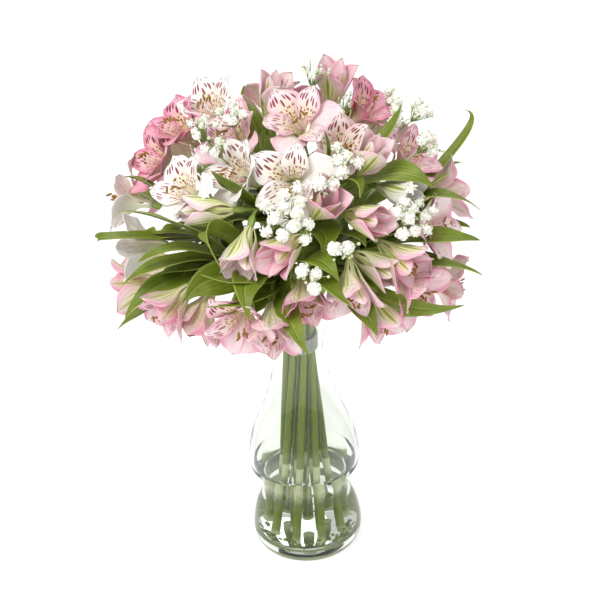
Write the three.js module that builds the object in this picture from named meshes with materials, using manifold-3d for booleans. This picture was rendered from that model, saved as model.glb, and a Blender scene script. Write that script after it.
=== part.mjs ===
// A hand-tied bunch of pink and white alstroemeria with baby's breath, standing in a waisted clear glass
// vase of water. Millimetres, +Z up. The origin is the centre of the vase's underside.
//
// Eleven stems lean through the vase's neck in a spiral, held by a string tie. Above the rim they fan out
// and end in umbels, whose stalks carry the blooms on the surface of a dome. Each bloom is one solid of
// six tepals, each leafy stem one solid with its leaves and stalks, each spray one solid of twigs and
// florets. Pieces are placed one after another. Each takes the variant of its shape that crosses the
// earlier ones least, and is trimmed where it still does, so that GAP stays free between neighbours.

import * as THREE from "three";
import { mergeVertices } from "three/addons/utils/BufferGeometryUtils.js";
import Module from "manifold-3d";

const wasm = await Module();
wasm.setup();

const RAD = Math.PI / 180;
const GOLDEN_ANGLE = 137.508;
const GAP = 0.35;
const SHEET_GAP = 0.02;

// ---------------------------------------------------------------- driving dimensions

// The vase: outer radius and height of each turn of its wall.
const VASE = {
  sides: 16,
  wall: 2.6,
  floor: 9,
  outer: [
    [41.5, 0],
    [45.0, 6],
    [45.4, 18],
    [42.0, 34],
    [35.5, 50],
    [37.4, 59],
    [44.6, 73],
    [45.6, 86],
    [42.0, 106],
    [28.6, 142],
    [20.6, 174],
    [20.4, 194],
    [28.0, 232],
  ],
};
const WATER_LEVEL = 79;
const TIE = { low: 188, high: 202, inner: 14, wrap: 1.2, turns: 3, sides: 12 };

// Stems stand in two rings: the radius of each ring in the tie and on the vase's floor.
const STEM = { radius: 3.1, sides: 6, footZ: VASE.floor + 0.4, twist: 42 };
const RINGS = {
  outer: { tied: 10.3, foot: 24, step: 45, start: -160 },
  inner: { tied: 3.75, foot: 9.5, step: 120, start: -20 },
  spray: { tied: 12, foot: 20, step: 45, start: -137.5 },
};
const STALK = { radius: 1.25, ovary: 2.9, ovaryLength: 7, sides: 3, sunk: 3.2 };
const KNOB = { radius: 4.2, end: 2.2, length: 3.6 };

// The dome's middle, from which the places of blooms, leaves and florets are measured.
const MIDDLE = { x: -2, y: 0, z: 270 };
const UMBEL_REACH = 52;

// Tepals: full length, half width, distance from the axis where they start, how much less than the
// others they open at the blade, and the shares of their length that have a ring of corners.
const OUTER = { length: 44, half: 13, bud: 0.6, start: 3, lean: 0, claw: 0, stations: [0.36, 0.68, 0.9] };
const INNER = { length: 43, half: 8, bud: 0.4, start: 2, lean: -12, claw: -8, stations: [0.44, 0.8] };
const TEPALS = [OUTER, INNER, OUTER, INNER, OUTER, INNER];
const TEPAL_THICKNESS = 1.2;
const CORE = { heights: [0, 4, 12], radii: [2.1, 3.2, 2.4] };
const LEAF = { thickness: 1.2, fold: 0.2, stations: [0.02, 0.34, 0.7] };
const FLORET = { twig: 0.65, root: 0.35, depth: 0.62, spacing: 1.36, hub: 2.3, stalk: 14 };

// What each kind of piece may change to clear its neighbours: degrees that a tepal closes, [outward
// millimetres, degrees of elevation] for a leaf, [sideways, upward] millimetres of a stalk's middle,
// outward millimetres of a floret.
const TEPAL_BENDS = [0, 8, -8, 16, -16, 24, 34, 46];
const LEAF_SHIFTS = [
  [0, 0],
  [5, 0],
  [-5, 0],
  [0, 6],
  [0, -6],
  [8, 8],
  [8, -8],
  [-8, 8],
  [-8, -8],
];
const STALK_SHIFTS = [
  [0, 0],
  [6, 0],
  [-6, 0],
  [0, 6],
  [0, -6],
  [12, 0],
  [-12, 0],
  [10, 10],
  [-10, 10],
  [10, -10],
  [-10, -10],
  [0, 14],
  [0, -14],
  [18, 0],
  [-18, 0],
];
const FLORET_SHIFTS = [0, 3, 6, -3];

// Stems: ring, slot in the ring, and azimuth and elevation of the umbel seen from the dome's middle.
// Azimuth 0 is the front, 90 the right.
const STEMS = [
  { ring: "outer", slot: 0, azimuth: -150, elevation: 20 },
  { ring: "outer", slot: 1, azimuth: -96, elevation: 20 },
  { ring: "outer", slot: 2, azimuth: -50, elevation: 18 },
  { ring: "outer", slot: 3, azimuth: -12, elevation: 16 },
  { ring: "outer", slot: 4, azimuth: 34, elevation: 20 },
  { ring: "outer", slot: 5, azimuth: 76, elevation: 16 },
  { ring: "outer", slot: 6, azimuth: 124, elevation: 18 },
  { ring: "outer", slot: 7, azimuth: 170, elevation: 20 },
  { ring: "inner", slot: 0, azimuth: -16, elevation: 62 },
  { ring: "inner", slot: 1, azimuth: 84, elevation: 60 },
  { ring: "inner", slot: 2, azimuth: -136, elevation: 62 },
];

// Blooms: azimuth, elevation and reach of the base, azimuth and elevation that the bloom faces, its roll,
// how open it is (0 a bud, 1 wide), its tone, and the index of a neighbour that it is one solid with.
const BLOOMS = [
  [-30, 45, 106, -84, 4, 0, 0.3, "blush"],
  [-158, 70, 106, 60, 72, 10, 0.32, "blush"],
  [138, 62, 116, 34, 78, 0, 0.38, "pink"],
  [50, 53, 106, 56, 56, 0, 0.3, "blush"],
  [62, 45, 104, 46, 6, 50, 0.3, "white"],
  [30, 41, 106, 42, 8, 0, 0.32, "pink"],
  [13, 43, 98, 36, 50, 0, 0.36, "pink"],
  [42, 26, 106, 46, -20, 0, 0.5, "pink"],
  [25, 24, 108, 0, -42, 30, 0.54, "blush"],
  [6, 36, 106, -40, -8, 0, 0.38, "pink"],
  [-20, 40, 106, -18, -34, 20, 0.44, "blush"],
  [-45, 11, 106, -52, -26, 0, 0.56, "pink"],
  [-80, -4, 100, -92, -12, 20, 0.56, "pink"],
  [-10, 8, 92, -4, -30, 0, 0.58, "pink"],
  [8, 62, 96, -5, 22, 55, 0.95, "white"],
  [-28, 62, 90, -58, 36, 55, 0.84, "white"],
  [-60, 43, 96, -60, 42, 60, 0.88, "white"],
  [-84, 74, 92, -55, 48, 30, 0.8, "pink"],
  [-108, 38, 106, -74, 30, 60, 0.78, "rose"],
  [-115, 48, 110, -70, 50, 60, 0.8, "rose"],
  [-130, 58, 110, -50, 56, 55, 0.8, "white"],
  [80, 82, 100, -8, 56, 40, 0.84, "blush"],
  [126, 55, 106, 72, 54, 10, 0.72, "rose"],
  [66, 64, 94, 12, 46, 0, 0.7, "blush"],
  [102, 36, 98, 64, 42, 20, 0.72, "pink"],
  [96, 20, 106, 108, 11, 10, 0.72, "pink"],
  [66, 21, 102, 62, 16, 60, 0.86, "pink"],
  [48, 9, 100, 44, -10, 30, 0.74, "pink"],
  [-21, 8, 92, -10, -18, 40, 0.88, "pink"],
  [-98, 22, 112, -100, 12, 30, 0.92, "white"],
  [-70, 18, 100, -96, -2, 0, 0.7, "white"],
  [80, -8, 98, 84, -14, 20, 0.7, "pink"],
  [130, 34, 98, 130, 30, 10, 0.82, "blush"],
  [124, 0, 98, 124, -2, 40, 0.84, "white"],
  [156, 14, 98, 156, 8, 0, 0.8, "pink"],
  [172, 46, 98, 172, 42, 30, 0.84, "pink"],
  [-170, -2, 98, -170, -6, 50, 0.8, "blush"],
  [-160, 26, 98, -160, 22, 0, 0.86, "white"],
  [-134, 8, 98, -134, 4, 20, 0.8, "rose"],
  [-126, 32, 98, -126, 28, 60, 0.7, "blush"],
  [-106, -8, 96, -108, -14, 0, 0.66, "pink"],
  [-168, 62, 98, -172, 58, 20, 0.8, "pink"],
  [5, 22, 90, 6, -34, 20, 0.56, "pink", 13],
  [34, 24, 88, 52, -12, 0, 0.36, "blush", 8],
  [35, 6, 92, 30, -44, 0, 0.5, "pink", 27],
  [-40, 8, 92, -46, -44, 20, 0.6, "pink", 11],
];
const TONES = { white: "#f4ece6", blush: "#f0cfd0", pink: "#e3a3b3", rose: "#cf7390" };

// Leaves: stem, then azimuth, elevation and reach of the middle and of the tip, half width and twist.
const LEAVES = [
  [2, -45, 33, 134, -61, 30, 160, 8.5, 30],
  [1, -67, 13, 134, -71, 10, 148, 8, 0],
  [2, -47, 25, 120, -54, 18, 144, 9, 0],
  [2, -51, 19, 118, -57, 10, 150, 10.5, 10],
  [2, -53, 10, 118, -56, 0, 150, 10, -20],
  [2, -56, 2, 118, -61, -6, 152, 9.5, 20],
  [3, -32, 35, 128, -22, 23, 138, 9, 80],
  [3, -19, 18, 112, -30, 21, 138, 9, 0],
  [3, -14, 12, 112, -28, 12, 142, 7, 20],
  [3, -17, 26, 112, -14, 14, 132, 12, -20],
  [3, -2, 6, 112, 4, -3, 138, 8, 20],
  [5, 98, 30, 150, 106, 34, 174, 4, 30],
  [8, 26, 56, 112, 35, 68, 138, 8, 0],
  [9, 58, 46, 116, 60, 34, 142, 13, 30],
  [8, 36, 52, 112, 30, 42, 136, 10, -30],
  [9, 82, 54, 116, 100, 52, 146, 6, 20],
  [5, 68, 32, 118, 74, 33, 148, 8, 0],
  [5, 60, 34, 116, 65, 38, 140, 7, 30],
  [5, 64, 26, 128, 72, 14, 158, 11, -20],
  [5, 58, 20, 122, 66, 14, 152, 10, 10],
  [4, 55, 7, 118, 63, -1, 158, 9, 0],
  [4, 40, -6, 108, 56, -9, 144, 8, 0],
  [4, 26, 14, 118, 27, 5, 138, 9, 30],
  [4, 12, 11, 110, 17, 4, 136, 9, -20],
  [3, 9, 27, 112, 15, 19, 134, 11, 20],
  [8, -29, 50, 112, -40, 52, 136, 9, 30],
  [6, 112, 20, 116, 110, 18, 154, 9, 10],
  [6, 142, -4, 114, 142, -12, 152, 9, -10],
  [6, 146, 36, 114, 150, 36, 148, 9, 0],
  [7, 176, 20, 116, 174, 18, 152, 9, 10],
  [7, -164, 40, 112, -164, 42, 148, 9, -15],
  [0, -150, 12, 114, -151, 8, 152, 9, 15],
  [0, -144, 30, 114, -143, 32, 150, 9, 0],
  [1, -118, 12, 114, -118, 12, 152, 9, -10],
  [1, -86, 34, 116, -82, 34, 148, 9, 20],
  [2, -38, 30, 84, -30, 40, 106, 12, 20],
  [3, -6, 26, 84, 2, 36, 106, 12, -20],
  [3, -22, 6, 84, -30, -4, 108, 12, 10],
  [8, -30, 46, 86, -34, 38, 108, 12, 20],
  [10, -160, 48, 86, -166, 40, 108, 12, 20],
  [7, 160, 30, 86, 152, 26, 108, 12, 0],
  [6, 130, 26, 86, 138, 20, 108, 12, 10],
  [1, -66, 27, 94, -78, 20, 118, 13, 0],
  [2, -48, 14, 90, -52, 7, 112, 12.5, 0],
  [1, -71, 18, 98, -80, 10, 118, 13, 0],
  [2, -52, 17, 94, -58, 11, 118, 13, 0],
  [3, -18, 35, 90, -14, 26, 108, 13, 0],
  [8, 18, 38, 90, 12, 27, 108, 13, 0],
  [4, 35, 34, 90, 34, 26, 108, 13, 0],
  [4, 35, 14, 94, 35, 7, 112, 12, 0],
  [5, 90, 10, 108, 87, 8, 140, 12, 10],
  [3, -38, 8, 96, -42, 0, 118, 12, 0],
];

// Baby's breath: slot of the stem, height of its cut end, azimuth and elevation of its fork, radius of its
// florets, then its heads, each with azimuth, elevation and reach and its number of florets.
const SPRAYS = [
  {
    slot: 3,
    footZ: 40,
    azimuth: 2,
    elevation: 46,
    floret: 4.8,
    heads: [
      [1, 41, 138, 13],
      [6, 22, 134, 3],
      [35, 56, 134, 6],
      [19, 48, 134, 2],
    ],
  },
  {
    slot: 4,
    footZ: 32,
    azimuth: 50,
    elevation: 40,
    floret: 4.8,
    heads: [
      [49, 31, 140, 11],
      [19, 28, 132, 2],
      [100, 50, 140, 4],
      [82, 42, 146, 3],
    ],
  },
  {
    slot: 5,
    footZ: 92,
    azimuth: 116,
    elevation: 56,
    floret: 3.4,
    heads: [
      [116, 49, 145, 4],
      [109, 42, 152, 4],
      [129, 78, 148, 3],
      [150, 40, 136, 4],
    ],
  },
  {
    slot: 0,
    footZ: 36,
    azimuth: -90,
    elevation: 66,
    floret: 3.6,
    heads: [
      [-63, 71, 140, 7],
      [-76, 61, 138, 5],
      [-51, 60, 134, 3],
      [-146, 42, 136, 4],
    ],
  },
];

const LOOKS = {
  glass: { color: "#e6eeea", roughness: 0.03, transparent: true, opacity: 0.35 },
  water: { color: "#e2ece2", roughness: 0.02, transparent: true, opacity: 0.35 },
  string: { color: "#b9bab0", roughness: 0.7 },
  foliage: { color: "#567d2e", roughness: 0.5 },
  floret: { color: "#f1f2e6", roughness: 0.8 },
};

// ---------------------------------------------------------------- small helpers

const vec = (x, y, z) => new THREE.Vector3(x, y, z);
const mix = (a, b, share) => a + (b - a) * share;

/** 0 before a, 1 after b, and a smooth step between. */
function ease(a, b, x) {
  const share = Math.min(1, Math.max(0, (x - a) / (b - a)));
  return share * share * (3 - 2 * share);
}

/** A unit vector from azimuth and elevation in degrees. */
function direction(azimuth, elevation) {
  const a = azimuth * RAD;
  const e = elevation * RAD;
  return vec(Math.sin(a) * Math.cos(e), -Math.cos(a) * Math.cos(e), Math.sin(e));
}

/** The point that far from the dome's middle in that direction. */
const fromMiddle = (azimuth, elevation, reach) =>
  direction(azimuth, elevation).multiplyScalar(reach).add(MIDDLE);

/** Points along the quadratic curve that starts at a, bends at b and ends at c. */
const curve = (a, b, c, steps) => new THREE.QuadraticBezierCurve3(a, b, c).getPoints(steps);

/** A unit vector across a direction, as level as can be. */
function levelAcross(along) {
  const across = vec(0, 0, 1).cross(along);
  return across.lengthSq() > 1e-3 ? across.normalize() : vec(1, 0, 0);
}

/**
 * A closed solid's surface through rings of equally many points, ended by a point or by a flat cap. Every
 * other strip is cut along its other diagonal, so that the two faces of a thin twisted blade stay apart.
 */
function loft(rings, tip = null) {
  const count = rings[0].length;
  const points = rings.flat();
  const faces = [];
  for (let i = 1; i < count - 1; i++) faces.push(0, i + 1, i);
  for (let r = 0; r + 1 < rings.length; r++)
    for (let i = 0; i < count; i++) {
      const j = (i + 1) % count;
      const [a, b, c, d] = [r * count + i, r * count + j, (r + 1) * count + j, (r + 1) * count + i];
      if (i % 2) faces.push(a, b, d, b, c, d);
      else faces.push(a, b, c, a, c, d);
    }
  const last = (rings.length - 1) * count;
  if (tip) {
    for (let i = 0; i < count; i++) faces.push(last + i, last + ((i + 1) % count), points.length);
    points.push(tip);
  } else for (let i = 1; i < count - 1; i++) faces.push(last, last + i, last + i + 1);
  return new THREE.BufferGeometry().setFromPoints(points).setIndex(faces);
}

/** A many-sided tube through points, each with its own radius. */
function tube(points, radii, sides) {
  const first = points[1].clone().sub(points[0]).normalize();
  let across = levelAcross(first);
  const rings = points.map((point, i) => {
    const before = points[Math.max(0, i - 1)];
    const after = points[Math.min(points.length - 1, i + 1)];
    const along = after.clone().sub(before).normalize();
    across = across.clone().addScaledVector(along, -across.dot(along)).normalize();
    const up = along.clone().cross(across);
    return Array.from({ length: sides }, (_, k) => {
      const turn = (k / sides) * 2 * Math.PI;
      return point
        .clone()
        .addScaledVector(across, radii[i] * Math.cos(turn))
        .addScaledVector(up, radii[i] * Math.sin(turn));
    });
  });
  return loft(rings);
}

/** A solid of revolution about Z through [radius, height] points. */
function turned(profile, sides) {
  const points = profile.map(([r, z]) => new THREE.Vector2(r, z));
  return new THREE.LatheGeometry(points, sides).rotateX(Math.PI / 2);
}

/** A three.js geometry as a manifold-3d solid with its faces out. */
function solid(geometry) {
  const bare = new THREE.BufferGeometry().setAttribute("position", geometry.getAttribute("position"));
  if (geometry.index) bare.setIndex(geometry.index);
  const merged = mergeVertices(bare, 1e-4);
  const vertProperties = new Float32Array(merged.getAttribute("position").array);
  const triVerts = new Uint32Array(merged.index.array);
  const made = new wasm.Manifold(new wasm.Mesh({ numProp: 3, vertProperties, triVerts }));
  if (made.volume() > 0) return made;
  for (let i = 0; i < triVerts.length; i += 3)
    [triVerts[i + 1], triVerts[i + 2]] = [triVerts[i + 2], triVerts[i + 1]];
  return new wasm.Manifold(new wasm.Mesh({ numProp: 3, vertProperties, triVerts }));
}

/** The largest body of a solid, so that no loose scrap is kept and no sealed hollow. */
const largest = (made) => made.decompose().reduce((a, b) => (b.volume() > a.volume() ? b : a));

/** A manifold-3d solid as a three.js geometry. */
function geometryOf(made) {
  const { numProp, vertProperties, triVerts } = made.getMesh();
  const points = new Float32Array((vertProperties.length / numProp) * 3);
  for (let i = 0; i < points.length / 3; i++)
    points.set(vertProperties.subarray(i * numProp, i * numProp + 3), i * 3);
  const geometry = new THREE.BufferGeometry();
  geometry.setAttribute("position", new THREE.BufferAttribute(points, 3));
  return geometry.setIndex(new THREE.BufferAttribute(triVerts, 1));
}

/** Corners of two sheets that only touch are moved apart, each a little way into its own side. */
function parted(geometry) {
  geometry.computeVertexNormals();
  const points = geometry.getAttribute("position");
  const normals = geometry.getAttribute("normal");
  const places = new Map();
  for (let i = 0; i < points.count; i++) {
    const place = [points.getX(i), points.getY(i), points.getZ(i)].map((value) => value.toFixed(3)).join();
    places.set(place, [...(places.get(place) ?? []), i]);
  }
  for (const shared of [...places.values()].filter((corners) => corners.length > 1))
    for (const i of shared) {
      const inward = vec(0, 0, 0).fromBufferAttribute(normals, i).multiplyScalar(-SHEET_GAP);
      const moved = vec(0, 0, 0).fromBufferAttribute(points, i).add(inward);
      points.setXYZ(i, moved.x, moved.y, moved.z);
    }
  return geometry;
}

/** A manifold-3d solid as a named mesh, with its closest corners joined. */
function meshOf(name, made, look) {
  const joined = largest(solid(mergeVertices(geometryOf(made), 1e-3)));
  const mesh = new THREE.Mesh(parted(geometryOf(joined)), new THREE.MeshStandardMaterial(look));
  mesh.name = name;
  return mesh;
}

// ---------------------------------------------------------------- room for each piece

const placed = []; // what is in place: its owner, its solid grown by GAP and that solid's box

const boxesMeet = (a, b) => [0, 1, 2].every((k) => a.min[k] <= b.max[k] && b.min[k] <= a.max[k]);

function keep(owner, grown) {
  placed.push({ owner, grown, box: grown.boundingBox() });
}

/** The pieces of other owners that could meet a solid. */
function near(owner, made) {
  const box = made.boundingBox();
  return placed.filter((piece) => piece.owner !== owner && boxesMeet(piece.box, box));
}

/**
 * Of the variants of a piece, the one that crosses others least. Each step down the list counts as one
 * cubic millimetre more, so that a piece keeps its own shape where it nearly fits.
 */
function roomiest(owner, shape, variants, own) {
  let best = { cost: Infinity };
  for (const [step, variant] of variants.entries()) {
    const made = shape(variant);
    const others = [...near(owner, made).map(({ grown }) => grown), ...own];
    const crossed = others.reduce((sum, other) => sum + made.intersect(other).volume(), 0);
    if (crossed + step < best.cost) best = { cost: crossed + step, crossed, variant };
    if (best.crossed < 0.5) break;
  }
  return best.variant;
}

/** A piece cut back where it crosses earlier ones of other owners. */
const trimmed = (owner, made) => near(owner, made).reduce((rest, { grown }) => rest.subtract(grown), made);

/** Puts a piece in place, trimmed where it crosses an earlier one of another owner. */
function settle(owner, shape) {
  const made = shape(0);
  keep(owner, shape(GAP).add(made));
  return trimmed(owner, made);
}

/**
 * Grows a piece on what carries it, in the variant of its shape that loses least to earlier pieces of
 * other owners and to a cut between the two. It stays off where every variant loses more than the most.
 */
function grow(owner, carrier, shape, variants, most) {
  let best = { cost: Infinity };
  for (const [step, variant] of variants.entries()) {
    const made = shape(variant, 0);
    const joined = largest(carrier.add(trimmed(owner, made)));
    const lost = carrier.add(made).volume() - joined.volume();
    if (lost + step < best.cost) best = { cost: lost + step, lost, joined, variant };
    if (best.lost < 0.5) break;
  }
  if (best.lost > most) return carrier;
  keep(owner, shape(best.variant, GAP));
  return best.joined;
}

// ---------------------------------------------------------------- the vase, the water and the tie

/** The vase's inner wall from the floor to the rim, moved in or out. */
const innerWall = (inward = 0) => [
  [VASE.outer[1][0] - VASE.wall - 4 - inward, VASE.floor],
  ...VASE.outer.slice(2).map(([r, z]) => [r - VASE.wall - inward, z]),
];

function vaseSolid(margin) {
  const outside = VASE.outer.map(([r, z]) => [r + margin, z]);
  const inside = innerWall(margin).reverse();
  return solid(turned([[0, 0], ...outside, ...inside, [0, VASE.floor + margin]], VASE.sides));
}

/** The water, clear of the glass, with a plain hole for each stem. */
function waterSolid(stems) {
  const walls = innerWall(GAP);
  const above = walls.findIndex(([, z]) => z > WATER_LEVEL);
  const [[lowR, lowZ], [highR, highZ]] = [walls[above - 1], walls[above]];
  const edge = mix(lowR, highR, (WATER_LEVEL - lowZ) / (highZ - lowZ));
  const bottom = VASE.floor + GAP;
  const side = [[walls[0][0], bottom], ...walls.slice(1, above), [edge, WATER_LEVEL]];
  const whole = solid(turned([[0, bottom], ...side, [0, WATER_LEVEL]], VASE.sides));
  return largest(stems.reduce((water, stem) => water.subtract(stem), whole));
}

/** String wound round the bundle: a ring with one ridge for each turn. */
function tieSolid(margin) {
  const pitch = (TIE.high - TIE.low) / TIE.turns;
  const inner = TIE.inner - margin;
  const ridges = Array.from({ length: TIE.turns }, (_, turn) => [
    [TIE.inner + TIE.wrap * 0.5 + margin, TIE.low + pitch * turn],
    [TIE.inner + TIE.wrap + margin, TIE.low + pitch * (turn + 0.5)],
  ]).flat();
  const top = [TIE.inner + TIE.wrap * 0.5 + margin, TIE.high];
  return solid(turned([[inner, TIE.low], ...ridges, top, [inner, TIE.high], [inner, TIE.low]], TIE.sides));
}

// ---------------------------------------------------------------- blooms

/** A bloom's base, its axis and the two directions across it, the first of them turned by its roll. */
function bloomFrame([azimuth, elevation, reach, facing, rise, roll]) {
  const axis = direction(facing, rise);
  const side = axis.clone().cross(vec(0, 0, 1)).normalize();
  const upward = side.clone().cross(axis);
  const up = upward.multiplyScalar(Math.cos(roll * RAD)).addScaledVector(side, Math.sin(roll * RAD));
  return { base: fromMiddle(azimuth, elevation, reach), axis, up, side: axis.clone().cross(up) };
}

/** The direction straight out of a bloom's axis at a turn in degrees. */
const radialOf = (frame, turn) =>
  frame.up
    .clone()
    .multiplyScalar(Math.cos(turn * RAD))
    .addScaledVector(frame.side, Math.sin(turn * RAD));

/** A tepal's midrib in its own plane: [distance out, height, angle] at each twentieth of its length. */
function midrib(kind, open, bend) {
  const steps = 20;
  const claw = mix(26, 16, open) + kind.claw;
  const blade = mix(-24, 82, open) + kind.lean * mix(0.4, 1, open) - bend;
  const angle = (t) => (mix(claw, blade, ease(0.12, 0.72, t)) + 26 * open * ease(0.7, 1.1, t)) * RAD;
  const step = (kind.length * mix(0.84, 1, open)) / steps;
  const line = [[kind.start, 2, angle(0)]];
  for (let i = 0; i < steps; i++) {
    const [out, high] = line[i];
    const lean = angle((i + 0.5) / steps);
    line.push([out + step * Math.sin(lean), high + step * Math.cos(lean), angle((i + 1) / steps)]);
  }
  return line;
}

/** A tepal's half width at a share of its length: a narrow claw, a broad blade, a round end. */
function tepalHalfWidth(kind, open, t) {
  const broad = kind.half * mix(kind.bud, 1, ease(0, 0.6, open));
  const blade = mix(1.3, broad, ease(0.14, 0.68, t));
  return blade * (t < 0.68 ? 1 : Math.sqrt(Math.max(0, 1 - ((t - 0.68) / 0.32) ** 2)));
}

/** A tepal's point from its place along (0 to 1) and across (-1 to 1), lifted off its middle face. */
function tepalPoint(frame, index, open, line, t, s, lift, margin) {
  const i = Math.min(19, Math.floor(t * 20));
  const [out, high, angle] = line[i].map((value, k) => mix(value, line[i + 1][k], t * 20 - i));
  const radial = radialOf(frame, 60 * index);
  const tangent = frame.axis.clone().cross(radial);
  const inward = frame.axis
    .clone()
    .multiplyScalar(Math.sin(angle))
    .addScaledVector(radial, -Math.cos(angle));
  const half = tepalHalfWidth(TEPALS[index], open, t) + margin;
  const cup = mix(0.5, 0.1, ease(0.1, 0.8, open)) * half * s * s;
  return frame.base
    .clone()
    .addScaledVector(frame.axis, high)
    .addScaledVector(radial, out)
    .addScaledVector(tangent, s * half)
    .addScaledVector(inward, cup + lift);
}

/** The corners of a bloom's slim core at one of its levels, each half way between two tepals. */
function coreRing(frame, level, margin) {
  const high = CORE.heights[level] + margin * [-1, 0, 2.2][level];
  const middle = frame.base.clone().addScaledVector(frame.axis, high);
  const reach = CORE.radii[level] + margin;
  return TEPALS.map((_, k) => middle.clone().addScaledVector(radialOf(frame, 60 * k - 30), reach));
}

const coreSolid = (frame, margin) => solid(loft([0, 1, 2].map((level) => coreRing(frame, level, margin))));

/** One tepal's blade, with a ridge along each face of its midrib, after any ring that it grows from. */
function bladeSolid(frame, index, open, bend, margin, root = []) {
  const line = midrib(TEPALS[index], open, bend);
  const lift = TEPAL_THICKNESS / 2 + margin;
  const point = (t, s, up, wider) => tepalPoint(frame, index, open, line, t, s, up, wider);
  const rings = TEPALS[index].stations.map((t) => [
    point(t, -1, 0, margin * 2.4),
    point(t, 0, -lift, 0),
    point(t, 1, 0, margin * 2.4),
    point(t, 0, lift, 0),
  ]);
  const end = point(1, 0, 0, 0);
  const beyond = end.clone().sub(point(TEPALS[index].stations.at(-1), 0, 0, 0)).setLength(margin * 2);
  return solid(loft([...root, ...rings], end.add(beyond)));
}

/** One tepal from the face of the core that it grows out of. */
function tepalSolid(frame, index, open, bend, margin) {
  const [low, high] = [1, 2].map((level) => coreRing(frame, level, 0));
  const next = (index + 1) % 6;
  const face = [low[index], low[next], high[next], high[index]];
  const middle = face[0].clone().add(face[2]).divideScalar(2);
  const grown = face.map((corner) => corner.clone().add(corner.clone().sub(middle).setLength(margin * 1.6)));
  return bladeSolid(frame, index, open, bend, margin, [grown]);
}

/** A bloom in place: each tepal closes as far as it must to clear what is already there. */
function placedBloom(index, owner) {
  const frame = frames[index];
  const open = BLOOMS[index][6];
  const bends = [];
  TEPALS.forEach((_, k) => {
    const own = bends.map((bend, j) => bladeSolid(frame, j, open, bend, 0));
    const shape = (bend) => bladeSolid(frame, k, open, bend, 0);
    bends.push(roomiest(owner, shape, TEPAL_BENDS, own));
  });
  const bloom = (margin) =>
    bends.reduce((made, bend, k) => made.add(tepalSolid(frame, k, open, bend, margin)), coreSolid(frame, margin));
  return settle(owner, bloom);
}

// ---------------------------------------------------------------- stems, stalks and leaves

/** A stem's place in the tie and on the vase's floor: the spiral turns it on its way down. */
function bundlePlace(ring, slot, footZ) {
  const { tied, foot, step, start } = RINGS[ring];
  const turn = start + step * slot;
  return {
    low: direction(turn, 0).multiplyScalar(tied).setZ(TIE.low - 2),
    high: direction(turn, 0).multiplyScalar(tied).setZ(TIE.high + 2),
    foot: direction(turn - STEM.twist, 0).multiplyScalar(foot).setZ(footZ),
  };
}

/** A stem's centreline from its cut end to its upper end, upright where it is tied. */
function stemRoute(ring, slot, footZ, end) {
  const { low, high, foot } = bundlePlace(ring, slot, footZ);
  const leave = high.clone().multiplyScalar(1.3).setZ(TIE.high + 32);
  return [foot, low, ...curve(high, leave, end, 3)];
}

const umbelOf = ({ azimuth, elevation }) => fromMiddle(azimuth, elevation, UMBEL_REACH);

/** The stem that carries a bloom: the one whose umbel lies nearest to the bloom's base. */
function stemOf(frame) {
  const distances = STEMS.map((stem) => umbelOf(stem).distanceTo(frame.base));
  return distances.indexOf(Math.min(...distances));
}

function stemSolid({ ring, slot, azimuth, elevation }, margin) {
  const umbel = umbelOf({ azimuth, elevation });
  const route = stemRoute(ring, slot, STEM.footZ - margin, umbel);
  const radii = route.map((_, i) => STEM.radius * (i > 2 ? 0.8 : 1) + margin);
  const outward = umbel.clone().sub(route[4]).setLength(KNOB.length);
  const knob = [-1, 0, 1].map((step) => umbel.clone().addScaledVector(outward, step));
  const knobRadii = [STEM.radius * 0.8, KNOB.radius, KNOB.end].map((radius) => radius + margin);
  return solid(tube([...route.slice(0, -1), ...knob], [...radii.slice(0, -1), ...knobRadii], STEM.sides));
}

/** A bloom's stalk from the umbel to the ovary under the bloom, its middle moved aside. */
function stalkSolid(umbel, frame, [aside, upward], margin) {
  const end = frame.base.clone().addScaledVector(frame.axis, margin - GAP);
  const neck = frame.base.clone().addScaledVector(frame.axis, -STALK.ovaryLength);
  const steer = neck.clone().addScaledVector(frame.axis, -12);
  steer.addScaledVector(levelAcross(frame.axis), aside).add(vec(0, 0, upward));
  const belly = frame.base.clone().addScaledVector(frame.axis, -STALK.ovaryLength * 0.35);
  const start = umbel.clone().add(steer.clone().sub(umbel).setLength(STALK.sunk));
  const stalk = curve(start, steer, neck, 2);
  const radii = [...stalk.map(() => STALK.radius), STALK.ovary, 2].map((radius) => radius + margin);
  return solid(tube([...stalk, belly, end], radii, STALK.sides));
}

/** A leaf's half width at a share of its length: a short stalk, then a long lance. */
const leafHalfWidth = (half, t) => half * Math.max(0.16 * (1 - t), Math.sin(Math.PI * t ** 0.8) ** 0.9);

/** Across a leaf at its middle: along the dome where it lies on the dome, level where it stands out. */
function acrossLeaf(path) {
  const along = path.getTangent(0.5);
  const across = along.clone().cross(path.getPoint(0.5).sub(MIDDLE).normalize());
  return across.length() > 0.4 ? across.normalize() : levelAcross(along).negate();
}

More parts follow.
